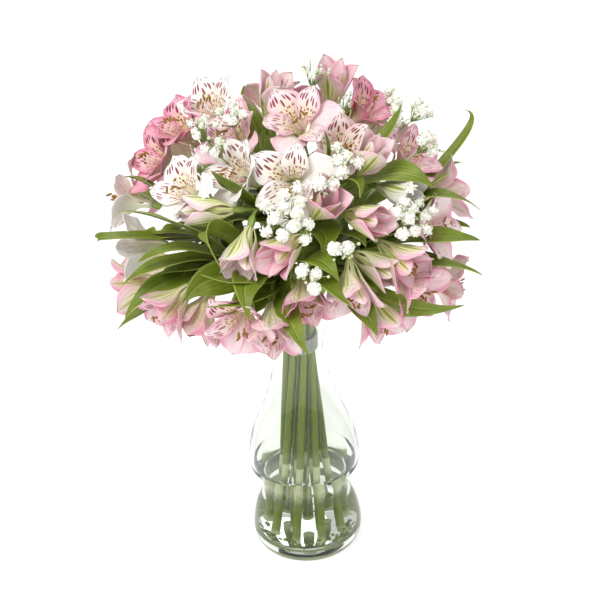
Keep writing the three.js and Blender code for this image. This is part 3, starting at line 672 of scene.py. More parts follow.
@dataclass(frozen=True)
class StalkFinish:
    """A fleshy green stalk: smooth, faintly ribbed along its length, paler where it is young."""

    name: str = "stalk_epidermis"
    green: str = "#7f9a3c"
    pale: str = "#b3c26c"
    stem: str = "#9fb322"
    low: str = "#76891a"
    # Pale colour painted as light, under the water line and at the cut ends.
    pale_painted_light: str = "#f2f7c6"
    roughness: float = 0.45

    def material(self) -> bpy.types.Material:
        """The stalk's material, which changes with height in metres.

        Returns:
            The material.
        """
        paint = Paint(self.name)
        add = paint.add
        ribs = add("TexNoise", add("Mapping", paint.uv, Scale=(9.0, 0.6, 1.0)), Scale=1.0, Detail=1.0)
        cloud = add("TexNoise", add("Mapping", paint.place, Scale=(1.0, 1.0, 0.3)), Scale=90.0, Detail=3.0)
        height = (add("SeparateXYZ", paint.place), 2)
        tied = add("MapRange", height, 0.28, 0.2, **SMOOTH)
        paint.lay(self.green)
        paint.lay(self.pale, add("Math", add("MapRange", ribs, 0.4, 0.65, **SMOOTH), 0.6, **TIMES))
        paint.lay(self.pale, add("Math", add("MapRange", cloud, 0.45, 0.75, **SMOOTH), 0.35, **TIMES))
        # Below the umbels the stems are darker, with green ribs.
        paint.lay(self.stem, add("Math", tied, 0.95, **TIMES))
        paint.lay(self.low, add("Math", add("MapRange", height, 0.17, 0.11, **SMOOTH), 0.9, **TIMES))
        ribbed = add("Math", tied, add("MapRange", ribs, 0.45, 0.7, **SMOOTH), **TIMES)
        paint.lay(self.green, add("Math", ribbed, 0.4, **TIMES))
        # Pale colour painted as light: a band just under the water line stands in for the light that the
        # water's surface refracts onto them, and the cut ends are painted pale for the light that the glass
        # keeps from them.
        under = add("MapRange", height, 0.08, 0.077, **SMOOTH)
        painted_light_band = add("Math", under, add("MapRange", height, 0.045, 0.062, **SMOOTH), **TIMES)
        paint.lay(self.pale_painted_light, add("Math", painted_light_band, 0.85, **TIMES))
        paint.lay(self.pale_painted_light, add("Math", add("MapRange", height, 0.016, 0.0096, **SMOOTH), 0.75, **TIMES))
        paint.relief(ribs, 0.15, 0.5)
        return paint.done(Roughness=self.roughness, IOR=1.4, Subsurface_Weight=0.1, Subsurface_Scale=1.5 * MM)


@dataclass(frozen=True)
class PlainFinish:
    """A finish of one colour with a soft mottle, for the small parts and the string."""

    name: str
    colour: str
    mottle: str
    grain_mm: float = 1.0
    roughness: float = 0.6
    subsurface: float = 0.0

    def material(self) -> bpy.types.Material:
        """The material, its mottle as coarse as the grain size says.

        Returns:
            The material.
        """
        paint = Paint(self.name)
        cloud = paint.add("TexNoise", paint.place, Scale=1 / (self.grain_mm * MM), Detail=3.0)
        paint.lay(self.colour)
        paint.lay(self.mottle, paint.add("MapRange", cloud, 0.4, 0.7, **SMOOTH))
        paint.relief(cloud, self.grain_mm * 0.15, 0.5)
        return paint.done(
            Roughness=self.roughness, Subsurface_Weight=self.subsurface, Subsurface_Scale=1.5 * MM
        )


@dataclass(frozen=True)
class ClearFinish:
    """A clear body that bends light: glass, water or the air in a bubble."""

    name: str
    colour: str
    ior: float
    wave_mm: float = 0.0

    def material(self) -> bpy.types.Material:
        """The material, with a faint unevenness of its wall where wave_mm isn't 0.

        Returns:
            The material.
        """
        paint = Paint(self.name)
        if self.wave_mm:
            paint.relief(paint.add("TexNoise", paint.place, Scale=45.0, Detail=1.0), self.wave_mm)
        colour = linear(self.colour)
        return paint.done(Base_Color=colour, Roughness=0.0, IOR=self.ior, Transmission_Weight=1.0)


GLASS_IOR, WATER_IOR = 1.5, 1.33
# Soda-lime glass, blown and turned: clear, with a breath of green where it is thick.
GLASS = ClearFinish("soda_lime_glass", "#fafdf8", GLASS_IOR, 0.25)
# Tap water that cut stems have stood in: clear, very slightly green.
WATER = ClearFinish("flower_water", "#fdfffb", WATER_IOR)
# The glass wall where water lies against it bends light by the two indices' ratio, so it nearly vanishes.
WET_GLASS = ClearFinish("soda_lime_glass_under_water", "#fafdf8", GLASS_IOR / WATER_IOR)
# The ring that the vase stands on, ground flat on a wheel and matt; its green is a painted reflection of the
# stems seen through the glass.
FOOT_PAINTED_REFLECTION = PlainFinish("glass_foot_painted_reflection", "#c3d092", "#a9ba70", 2.5, 0.6)
# The skin of the water inside that wall bends nothing itself.
WET_SKIN = ClearFinish("flower_water_at_glass", "#ffffff", 1.0)
# Air under water: a bubble is the thinner body, so its rim flashes.
AIR = ClearFinish("air_bubble", "#ffffff", 1 / WATER_IOR)
# Twisted white cotton string, damp and greyed: matt and mottled.
STRING = PlainFinish("cotton_string", "#c9ccc6", "#a9ada8", 0.8, 0.85)
# Pollen sacs before and after they open: dry, granular, olive to rusty brown.
ANTHER = PlainFinish("pollen_sac", "#a2762c", "#6d5a22", 0.5, 0.75)
# The threads that carry them: moist and pink, a little translucent.
FILAMENT = PlainFinish("filament", "#efd6d2", "#e2a9b4", 2.0, 0.5, 0.1)
# Floret petals of baby's breath: papery, matt, white to cream.
FLORET = PlainFinish("floret_petal", "#fffefa", "#e8e8d0", 1.6, 0.75)
# Closed buds of baby's breath, white with a green cast.
FLORET_BUD = PlainFinish("floret_bud", "#e6ebd2", "#b9c894", 0.7, 0.6, 0.1)
LEAF = LeafFinish()
STALK = StalkFinish()
TWIG = StalkFinish("spray_twig", "#8aa35e", "#a6b97a", "#7c8f45", "#5f7322", "#c3cf96", 0.5)


class Tone(Enum):
    """The colours of the blooms, each with its finish."""

    WHITE = TepalFinish("white", "#e9ecb8", "#fffdf8", "#fdf2ee", "#f2dcdc", "#8e2f40")
    BLUSH = TepalFinish("blush", "#e9ecae", "#fdf5ef", "#f1b8c8", "#d992a8", "#8e2f40")
    PINK = TepalFinish("pink", "#e9eaac", "#fcedea", "#e68aac", "#cb6489", "#8a2740")
    ROSE = TepalFinish("rose", "#ecdfae", "#f6c4d0", "#dd6c92", "#bf4a75", "#741837")


# ---------------------------------------------------------------- the CAD's named values, in millimetres

MIDDLE = np.array([-2.0, 0.0, 270.0])
UMBEL_REACH = 52
WATER_LEVEL = 79
FLOOR = 9
WALL = 2.6
VASE_TURNS = (
    (41.5, 0), (45.0, 6), (45.4, 18), (42.0, 34), (35.5, 50), (37.4, 59), (44.6, 73), (45.6, 86),
    (42.0, 106), (28.6, 142), (20.6, 174), (20.4, 194), (28.0, 232),
)
TIE_LOW, TIE_HIGH, TIE_INNER, TIE_CLEAR = 188, 202, 14, 2
# The stems stand on STEM_FOOT, turn by STEM_TWIST degrees up to the tie, and leave it outward and upward.
STEM_FOOT, STEM_TWIST, LEAVE_OUT, LEAVE_RISE = 9.4, 42, 1.3, 32
# A stalk starts sunk in its umbel and comes to its bloom's neck from STALK_STEER behind it.
STALK_RADIUS, OVARY_LENGTH, STALK_SUNK, STALK_STEER = 1.25, 7, 3.2, 12
# Radii along each, from its foot up: the stem swells where its umbel starts.
STEM_RADII = (3.2, 3.1, 3.05, 3.1, 3.1, 2.9, 2.7, 2.5, 2.6, 3.6, 2.0)
STALK_RADII = (1.5, 1.25, 1.2, 1.25, 1.5)
OVARY_RADII = (1.4, 2.6, 2.95, 3.0, 2.6, 2.2)
SPRAY_RADII = (1.0, 1.15, 1.0, 0.95, 0.9, 0.9, 0.9, 0.9, 0.85, 0.8, 0.75)
NODE_RADII = (0.9, 1.9, 2.2, 1.5, 0.9)
# What the CAD tries in turn where a shape has no room: bends in degrees, the others in millimetres,
# and for a leaf its reach and its elevation in degrees.
TEPAL_BENDS = (0, 8, -8, 16, -16, 24, 34, 46)
LEAF_SHIFTS = ((0, 0), (5, 0), (-5, 0), (0, 6), (0, -6), (8, 8), (8, -8), (-8, 8), (-8, -8))
STALK_SHIFTS = (
    (0, 0), (6, 0), (-6, 0), (0, 6), (0, -6), (12, 0), (-12, 0), (10, 10), (-10, 10), (10, -10),
    (-10, -10), (0, 14), (0, -14), (18, 0), (-18, 0),
)
FLORET_SHIFTS = (0, 3, 6, -3)
FLORET_TWIG, FLORET_SPACING, FLORET_HUB, FLORET_STALK, FLORET_DEPTH = 0.65, 1.36, 2.3, 14, 0.62
# How far a spray forks from the dome's middle, and how flat its heads are crowned.
FORK_REACH, HEAD_CROWN = 66, 80


class Ring(Enum):
    """The rings of the bundle: radius where tied, radius at the foot, step and start in degrees."""

    OUTER = (10.3, 24, 45, -160)
    INNER = (3.75, 9.5, 120, -20)
    SPRAY = (12, 20, 45, -137.5)


# Leafy stems: ring, place in it, azimuth and elevation of the umbel.
STEMS = (
    (Ring.OUTER, 0, -150, 20), (Ring.OUTER, 1, -96, 20), (Ring.OUTER, 2, -50, 18),
    (Ring.OUTER, 3, -12, 16), (Ring.OUTER, 4, 34, 20), (Ring.OUTER, 5, 76, 16),
    (Ring.OUTER, 6, 124, 18), (Ring.OUTER, 7, 170, 20), (Ring.INNER, 0, -16, 62),
    (Ring.INNER, 1, 84, 60), (Ring.INNER, 2, -136, 62),
)

# Blooms: azimuth, elevation and reach of the base, azimuth and elevation that the bloom faces, its roll,
# how open it is, its tone, and the index of a neighbour that it is one solid with.
BLOOMS = (
    (-30, 45, 106, -84, 4, 0, 0.3, Tone.BLUSH),
    (-158, 70, 106, 60, 72, 10, 0.32, Tone.BLUSH),
    (138, 62, 116, 34, 78, 0, 0.38, Tone.PINK),
    (50, 53, 106, 56, 56, 0, 0.3, Tone.BLUSH),
    (62, 45, 104, 46, 6, 50, 0.3, Tone.WHITE),
    (30, 41, 106, 42, 8, 0, 0.32, Tone.PINK),
    (13, 43, 98, 36, 50, 0, 0.36, Tone.PINK),
    (42, 26, 106, 46, -20, 0, 0.5, Tone.PINK),
    (25, 24, 108, 0, -42, 30, 0.54, Tone.BLUSH),
    (6, 36, 106, -40, -8, 0, 0.38, Tone.PINK),
    (-20, 40, 106, -18, -34, 20, 0.44, Tone.BLUSH),
    (-45, 11, 106, -52, -26, 0, 0.56, Tone.PINK),
    (-80, -4, 100, -92, -12, 20, 0.56, Tone.PINK),
    (-10, 8, 92, -4, -30, 0, 0.58, Tone.PINK),
    (8, 62, 96, -5, 22, 55, 0.95, Tone.WHITE),
    (-28, 62, 90, -58, 36, 55, 0.84, Tone.WHITE),
    (-60, 43, 96, -60, 42, 60, 0.88, Tone.WHITE),
    (-84, 74, 92, -55, 48, 30, 0.8, Tone.PINK),
    (-108, 38, 106, -74, 30, 60, 0.78, Tone.ROSE),
    (-115, 48, 110, -70, 50, 60, 0.8, Tone.ROSE),
    (-130, 58, 110, -50, 56, 55, 0.8, Tone.WHITE),
    (80, 82, 100, -8, 56, 40, 0.84, Tone.BLUSH),
    (126, 55, 106, 72, 54, 10, 0.72, Tone.ROSE),
    (66, 64, 94, 12, 46, 0, 0.7, Tone.BLUSH),
    (102, 36, 98, 64, 42, 20, 0.72, Tone.PINK),
    (96, 20, 106, 108, 11, 10, 0.72, Tone.PINK),
    (66, 21, 102, 62, 16, 60, 0.86, Tone.PINK),
    (48, 9, 100, 44, -10, 30, 0.74, Tone.PINK),
    (-21, 8, 92, -10, -18, 40, 0.88, Tone.PINK),
    (-98, 22, 112, -100, 12, 30, 0.92, Tone.WHITE),
    (-70, 18, 100, -96, -2, 0, 0.7, Tone.WHITE),
    (80, -8, 98, 84, -14, 20, 0.7, Tone.PINK),
    (130, 34, 98, 130, 30, 10, 0.82, Tone.BLUSH),
    (124, 0, 98, 124, -2, 40, 0.84, Tone.WHITE),
    (156, 14, 98, 156, 8, 0, 0.8, Tone.PINK),
    (172, 46, 98, 172, 42, 30, 0.84, Tone.PINK),
    (-170, -2, 98, -170, -6, 50, 0.8, Tone.BLUSH),
    (-160, 26, 98, -160, 22, 0, 0.86, Tone.WHITE),
    (-134, 8, 98, -134, 4, 20, 0.8, Tone.ROSE),
    (-126, 32, 98, -126, 28, 60, 0.7, Tone.BLUSH),
    (-106, -8, 96, -108, -14, 0, 0.66, Tone.PINK),
    (-168, 62, 98, -172, 58, 20, 0.8, Tone.PINK),
    (5, 22, 90, 6, -34, 20, 0.56, Tone.PINK, 13),
    (34, 24, 88, 52, -12, 0, 0.36, Tone.BLUSH, 8),
    (35, 6, 92, 30, -44, 0, 0.5, Tone.PINK, 27),
    (-40, 8, 92, -46, -44, 20, 0.6, Tone.PINK, 11),
)

# Leaves: stem, azimuth, elevation and reach of the middle and of the tip, half width and twist.
LEAVES = (
    (2, -45, 33, 134, -61, 30, 160, 8.5, 30), (1, -67, 13, 134, -71, 10, 148, 8, 0),
    (2, -47, 25, 120, -54, 18, 144, 9, 0), (2, -51, 19, 118, -57, 10, 150, 10.5, 10),
    (2, -53, 10, 118, -56, 0, 150, 10, -20), (2, -56, 2, 118, -61, -6, 152, 9.5, 20),
    (3, -32, 35, 128, -22, 23, 138, 9, 80), (3, -19, 18, 112, -30, 21, 138, 9, 0),
    (3, -14, 12, 112, -28, 12, 142, 7, 20), (3, -17, 26, 112, -14, 14, 132, 12, -20),
    (3, -2, 6, 112, 4, -3, 138, 8, 20), (5, 98, 30, 150, 106, 34, 174, 4, 30),
    (8, 26, 56, 112, 35, 68, 138, 8, 0), (9, 58, 46, 116, 60, 34, 142, 13, 30),
    (8, 36, 52, 112, 30, 42, 136, 10, -30), (9, 82, 54, 116, 100, 52, 146, 6, 20),
    (5, 68, 32, 118, 74, 33, 148, 8, 0), (5, 60, 34, 116, 65, 38, 140, 7, 30),
    (5, 64, 26, 128, 72, 14, 158, 11, -20), (5, 58, 20, 122, 66, 14, 152, 10, 10),
    (4, 55, 7, 118, 63, -1, 158, 9, 0), (4, 40, -6, 108, 56, -9, 144, 8, 0),
    (4, 26, 14, 118, 27, 5, 138, 9, 30), (4, 12, 11, 110, 17, 4, 136, 9, -20),
    (3, 9, 27, 112, 15, 19, 134, 11, 20), (8, -29, 50, 112, -40, 52, 136, 9, 30),
    (6, 112, 20, 116, 110, 18, 154, 9, 10), (6, 142, -4, 114, 142, -12, 152, 9, -10),
    (6, 146, 36, 114, 150, 36, 148, 9, 0), (7, 176, 20, 116, 174, 18, 152, 9, 10),
    (7, -164, 40, 112, -164, 42, 148, 9, -15), (0, -150, 12, 114, -151, 8, 152, 9, 15),
    (0, -144, 30, 114, -143, 32, 150, 9, 0), (1, -118, 12, 114, -118, 12, 152, 9, -10),
    (1, -86, 34, 116, -82, 34, 148, 9, 20), (2, -38, 30, 84, -30, 40, 106, 12, 20),
    (3, -6, 26, 84, 2, 36, 106, 12, -20), (3, -22, 6, 84, -30, -4, 108, 12, 10),
    (8, -30, 46, 86, -34, 38, 108, 12, 20), (10, -160, 48, 86, -166, 40, 108, 12, 20),
    (7, 160, 30, 86, 152, 26, 108, 12, 0), (6, 130, 26, 86, 138, 20, 108, 12, 10),
    (1, -66, 27, 94, -78, 20, 118, 13, 0), (2, -48, 14, 90, -52, 7, 112, 12.5, 0),
    (1, -71, 18, 98, -80, 10, 118, 13, 0), (2, -52, 17, 94, -58, 11, 118, 13, 0),
    (3, -18, 35, 90, -14, 26, 108, 13, 0), (8, 18, 38, 90, 12, 27, 108, 13, 0),
    (4, 35, 34, 90, 34, 26, 108, 13, 0), (4, 35, 14, 94, 35, 7, 112, 12, 0),
    (5, 90, 10, 108, 87, 8, 140, 12, 10), (3, -38, 8, 96, -42, 0, 118, 12, 0),
)

# Sprays: slot of the stem, height of its cut end, azimuth and elevation of its fork, radius of its florets,
# then its heads, each with azimuth, elevation and reach and its number of florets.
SPRAYS = (
    (3, 40, 2, 46, 4.8, ((1, 41, 138, 13), (6, 22, 134, 3), (35, 56, 134, 6), (19, 48, 134, 2))),
    (4, 32, 50, 40, 4.8, ((49, 31, 140, 11), (19, 28, 132, 2), (100, 50, 140, 4), (82, 42, 146, 3))),
    (5, 92, 116, 56, 3.4, ((116, 49, 145, 4), (109, 42, 152, 4), (129, 78, 148, 3), (150, 40, 136, 4))),
    (0, 36, -90, 66, 3.6, ((-63, 71, 140, 7), (-76, 61, 138, 5), (-51, 60, 134, 3), (-146, 42, 136, 4))),
)


def from_middle(azimuth: float, elevation: float, reach: float) -> np.ndarray:
    """The point that far from the dome's middle in that direction."""
    return MIDDLE + direction(azimuth, elevation) * reach


def stem_route(ring: Ring, slot: int, foot_z: float, end: np.ndarray) -> list[np.ndarray]:
    """A stem's corner points: its foot, the two ends of its tied stretch, where it leaves and its end.

    Args:
        ring: The ring of the bundle that it stands in.
        slot: Its place in that ring.
        foot_z: The height of its cut end.
        end: Its upper end.

    Returns:
        Foot, low, high, leave and end.
    """
    tied, foot, step, start = ring.value
    turn = start + step * slot
    low, high = direction(turn, 0) * tied, direction(turn, 0) * tied
    low[2], high[2] = TIE_LOW - TIE_CLEAR, TIE_HIGH + TIE_CLEAR
    base = direction(turn - STEM_TWIST, 0) * foot
    base[2] = foot_z
    leave = high * LEAVE_OUT
    leave[2] = TIE_HIGH + LEAVE_RISE
    return [base, low, high, leave, end]


# ---------------------------------------------------------------- blooms

# The share of its length at which a tepal is broadest.
BROADEST = 0.68


@dataclass(frozen=True)
class TepalForm:
    """One kind of tepal, with the CAD's sizes in millimetres and its bends in degrees."""

    length: float
    half: float
    bud: float
    start: float
    lean: float
    claw: float
    stations: tuple[float, ...]
    narrow: bool

    def midrib(self, opening: float, bend: float) -> np.ndarray:
        """Distance out, height and angle of the midrib at each twentieth of its length.

        Args:
            opening: How open the bloom is, from 0 to 1.
            bend: How many degrees the tepal is closed.

        Returns:
            One row per twentieth, from claw to tip.
        """
        steps = 20
        claw = mix(26, 16, opening) + self.claw
        blade = mix(-24, 82, opening) + self.lean * mix(0.4, 1, opening) - bend

        def angle(t: float) -> float:
            """The midrib's angle from the bloom's axis, in radians."""
            return math.radians(mix(claw, blade, ease(0.12, 0.72, t)) + 26 * opening * ease(0.7, 1.1, t))

        step = self.length * mix(0.84, 1, opening) / steps
        line = [(self.start, 2.0, angle(0))]
        for i in range(steps):
            lean = angle((i + 0.5) / steps)
            out, high, _ = line[-1]
            line.append((out + step * math.sin(lean), high + step * math.cos(lean), angle((i + 1) / steps)))
        return np.array(line)

    def half_width(self, opening: float, t: np.ndarray) -> np.ndarray:
        """Half the width at shares of the length: a narrow claw, a broad blade, a round end.

        Args:
            opening: How open the bloom is, from 0 to 1.
            t: Shares of the length.

        Returns:
            Half the width at each.
        """
        broad = self.half * mix(self.bud, 1, ease(0, 0.6, opening))
        blade = mix(1.3, broad, ease(0.14, BROADEST, t))
        return blade * np.sqrt(np.clip(1 - (np.maximum(t - BROADEST, 0) / (1 - BROADEST)) ** 2, 0, 1))


BROAD = TepalForm(44, 13, 0.6, 3, 0, 0, (0.36, 0.68, 0.9), False)
NARROW = TepalForm(43, 8, 0.4, 2, -12, -8, (0.44, 0.8), True)
TEPALS = (BROAD, NARROW) * 3


@dataclass(frozen=True)
class StamenForm:
    """The stamens of a bloom: lengths in millimetres, each pair the ends of what is drawn."""

    count: int = 6
    spacing: float = 2.0
    reach: tuple[float, float] = (30, 38)
    drop: float = 2.5
    drop_step: float = 1.6
    radii: tuple[float, ...] = (0.6, 0.5, 0.42, 0.3)
    sac: tuple[float, float, float] = (2.9, 0.95, 0.8)
    sac_scale: tuple[float, float] = (0.9, 1.15)


STAMENS = StamenForm()
# How far each tepal is marked with dashes, from the one at the top round to the viewer's left.
MARKED = (1.0, 0.85, 0.0, 0.5, 0.0, 1.0)


class Bloom:
    """One bloom: six tepals round its axis, and six stamens with their pollen sacs."""

    def __init__(self, index: int, corners: dict[int, Corners]) -> None:
        """Reads the bloom's row, sets up its directions and finds how its tepals lie in the CAD.

        Args:
            index: The bloom's row.
            corners: The corners of each bloom node, by its row.
        """
        row = BLOOMS[index]
        self.index = index
        self.node = row[8] if len(row) > 8 else index
        self.opening, self.tone = row[6], row[7]
        self.base = from_middle(*row[:3])
        self.axis = direction(row[3], row[4])
        side = unit(np.cross(self.axis, [0.0, 0.0, 1.0]))
        upward, roll = np.cross(side, self.axis), math.radians(row[5])
        self.up = upward * math.cos(roll) + side * math.sin(roll)
        self.side = np.cross(self.axis, self.up)
        self.draws = random.Random(100 + index)
        self.bends = [self._bend(k, corners[self.node]) for k in range(len(TEPALS))]

    def radial(self, turn: float) -> np.ndarray:
        """The direction straight out of the axis at a turn in degrees."""
        return self.up * math.cos(math.radians(turn)) + self.side * math.sin(math.radians(turn))

    def places(
        self,
        k: int,
        bend: float,
        t: np.ndarray,
        s: np.ndarray,
        lift: np.ndarray | float,
        width: np.ndarray | float = 0.0,
    ) -> np.ndarray:
        """Points on a tepal.

        Args:
            k: The tepal's number.
            bend: How many degrees it is closed.
            t: Shares of its length.
            s: Places across it, from -1 to 1.
            lift: How far the points stand off its middle face, inward.
            width: Added to its half width.

        Returns:
            One point per row.
        """
        form = TEPALS[k]
        line = form.midrib(self.opening, bend)
        shares = np.linspace(0, 1, len(line))
        out, high, angle = (np.interp(t, shares, line[:, i])[:, None] for i in range(3))
        radial = self.radial(60 * k)
        tangent = np.cross(self.axis, radial)
        inward = self.axis * np.sin(angle) - radial * np.cos(angle)
        half = form.half_width(self.opening, t) + width
        cup = mix(0.5, 0.1, ease(0.1, 0.8, self.opening)) * half * s * s
        aside = tangent * (s * half)[:, None]
        return self.base + self.axis * high + radial * out + aside + inward * (cup + lift)[:, None]

    def _bend(self, k: int, corners: Corners) -> float:
        """The bend at which most of a tepal's corners are in the CAD.

        Args:
            k: The tepal's number.
            corners: The CAD node's corners.

        Returns:
            The bend in degrees.
        """
        stations = np.array(TEPALS[k].stations)
        t = np.append(np.repeat(stations, 4), 1.0)
        s = np.append(np.tile([-1.0, 0.0, 1.0, 0.0], len(stations)), 0.0)
        lift = np.append(np.tile([0.0, -0.6, 0.0, 0.6], len(stations)), 0.0)
        found = [corners.holds(self.places(k, bend, t, s, lift)) for bend in TEPAL_BENDS]
        return TEPAL_BENDS[int(np.argmax(found))]

    def tepals(self, blank: Blank) -> bpy.types.Object:
        """The six tepals as one piece.

        Args:
            blank: Six sheets, told apart by their height.

        Returns:
            The piece, not yet given its finish.
        """
        number = np.rint(blank.co[:, 2]).astype(int)
        s, v = blank.co[:, 0] * 2, blank.co[:, 1] + 0.5
        # Corners are spread so that the round end of the blade is cut evenly.
        end = np.sin(np.pi / 2 * np.clip((v - 0.6) / 0.4, 0, 1))
        t = np.where(v < 0.6, v / 0.6 * BROADEST, BROADEST + (1 - BROADEST) * end)
        places = np.empty_like(blank.co)
        streak, tint = np.zeros(len(t)), np.zeros(len(t))
        # Each bloom is a shade deeper or paler than the next, and each tepal than its neighbour.
        shade = 0.62 * ((self.index * 0.618) % 1)
        for k in range(len(TEPALS)):
            own = number == k
            places[own] = self._blade(k, t[own], s[own])
            streak[own] = MARKED[k] if self.opening > 0.5 else 0.0
            tint[own] = shade + 0.5 * self.draws.uniform(0, 0.6)
        piece = blank.shaped(f"bloom_{self.index + 1:02d}_tepals", places)
        mark(piece, "streak", streak)
        mark(piece, "tint", tint)
        mark(piece, "young", np.full(len(t), 1.0 - ease(0.5, 0.66, self.opening)))
        return piece

    def _blade(self, k: int, t: np.ndarray, s: np.ndarray) -> np.ndarray:
        """One tepal's corners, with its channelled midrib, its waved edge and its tipped point.

        Args:
            k: The tepal's number.
            t: Shares of its length.
            s: Places across it, from -1 to 1.

        Returns:
            One place per corner.
        """
        form, draws = TEPALS[k], self.draws
        half = form.half_width(self.opening, t)
        open_share = ease(0.3, 0.8, self.opening)
        wave = (1.5 if not form.narrow else 0.9) * mix(0.4, 1, open_share)
        phase, waves = draws.uniform(0, 1), draws.uniform(1.3, 2.4)
        turn = 2 * np.pi * (waves * t + phase) + 0.9 * np.sign(s)
        ruffle = wave * s**2 * (np.sin(turn) + 0.35 * np.sin(2.7 * turn)) * ease(0.3, 0.75, t)
        # A channel runs up the midrib, and the blade has shallow folds beside it.
        channel = -0.7 * np.exp(-((s * half / 1.5) ** 2)) * np.sin(np.pi * t)
        folds = 0.22 * np.cos(s * draws.uniform(7, 10) + phase * 6)
        folds = folds * ease(0.2, 0.6, t) * (1 - ease(0.85, 1, t))
        roll = -0.1 * half * np.abs(s) ** 3 * ease(0.5, 1, self.opening) * draws.uniform(-0.5, 1.6)
        # The round end narrows to a small point, and the margin is uneven.
        point = 1 - draws.uniform(0.1, 0.24) * ease(0.74, 0.98, t)
        margin = 1 + 0.05 * np.sin(2 * np.pi * (2.3 * t + phase) + 2 * s) * ease(0.35, 0.6, t)
        wider = 0.25 + (1.5 * open_share * ease(0.3, 0.6, t) if form.narrow else 0.0)
        lift = ruffle + channel + folds + roll
        places = self.places(k, self.bends[k], t, s * point * margin, lift, wider)
        radial = self.radial(60 * k)
        tangent = np.cross(self.axis, radial)
        sway = draws.uniform(-1.6, 1.6) * t**2
        tip = draws.uniform(1.2, 2.2) * ease(0.96, 1, t) * (1 - 0.9 * s * s)
        curl = draws.uniform(-1.8, 0.8) * open_share * ease(0.75, 1, t) ** 2
        near, end = (self.places(k, self.bends[k], np.array([x]), np.zeros(1), 0.0) for x in (0.93, 1.0))
        forward = unit(end - near)
        inward = np.cross(tangent, forward[0]) * -1
        return places + tangent * sway[:, None] + forward * tip[:, None] + inward * curl[:, None]

    def stamens(self, rods: Rods, sac: Blank) -> list[bpy.types.Object]:
        """The filaments, which lean to the bloom's lower side and lift at their ends, each with its sac.

        Args:
            rods: What sweeps the filaments.
            sac: A round blank.

        Returns:
            The filaments and sacs, not yet given their finish.
        """
        draws, form, made = self.draws, STAMENS, []
        for j in range(form.count):
            aside = (j - (form.count - 1) / 2) * form.spacing + draws.uniform(-0.8, 0.8)
            reach = draws.uniform(*form.reach)
            drop = form.drop + form.drop_step * (j % 2) + draws.uniform(-0.5, 0.5)
            points = [
                self.base + self.axis * 9,
                self.base + self.axis * 20 - self.up * drop * 0.7 + self.side * aside * 0.45,
                self.base + self.axis * (reach * 0.85) - self.up * (drop + 1) + self.side * aside * 0.85,
                self.base + self.axis * reach - self.up * (drop - 2.2) + self.side * aside,
            ]
            made.append(rods.along("filament", through(points), form.radii))
            across = unit(self.side * draws.uniform(-1, 1) + self.up * draws.uniform(-1, 1) + self.axis * 0.6)
            beside = unit(np.cross(across, self.axis + 0.01))
            body = sac.co * form.sac @ np.array([across, beside, np.cross(across, beside)])
            made.append(sac.shaped("sac", points[-1] + body * draws.uniform(*form.sac_scale)))
        return made


@dataclass
class Blooms:
    """All the blooms of the bunch."""

    thickness: float = 0.45
    stamens_from: float = 0.48
    across: int = 10
    along: int = 18
    made: list[Bloom] = field(default_factory=list)

    def build(self, nodes: dict[str, bpy.types.Object]) -> None:
        """Builds and dresses every bloom.

        Args:
            nodes: The CAD nodes by name.
        """
        solids = {row[8] if len(row) > 8 else i for i, row in enumerate(BLOOMS)}
        corners = {i: Corners(nodes[f"bloom_{i + 1:02d}"]) for i in solids}
        self.made = [Bloom(i, corners) for i in range(len(BLOOMS))]
        skins = {tone: [tone.value.material(side) for side in Side] for tone in Tone}
        thread_skin, sac_skin = FILAMENT.material(), ANTHER.material()
        blank = sheet_blank(self.across, self.along, len(TEPALS))
        rods = Rods(sides=6, rings=7)
        sac = pebble_blank(2)
        for bloom in self.made:
            piece = bloom.tepals(blank)
            thickened(piece, self.thickness, *skins[bloom.tone])
            finished(piece, f"tepal_{bloom.tone.value.name}", [f"bloom_{bloom.node + 1:02d}"])
            if bloom.opening > self.stamens_from:
                parts = bloom.stamens(rods, sac)
                for part in parts:
                    dress(part, sac_skin if part.name.startswith("sac") else thread_skin)
                finished(joined(f"bloom_{bloom.index + 1:02d}_stamens", parts))


def pebble_blank(subdivisions: int) -> Blank:
    """A blank round body of radius 1.

    Args:
        subdivisions: How finely it is cut.

    Returns:
        The blank.
    """
    deselect()
    bpy.ops.mesh.primitive_ico_sphere_add(subdivisions=subdivisions, radius=1)
    return Blank(bpy.context.object)


# ---------------------------------------------------------------- stems, stalks and leaves


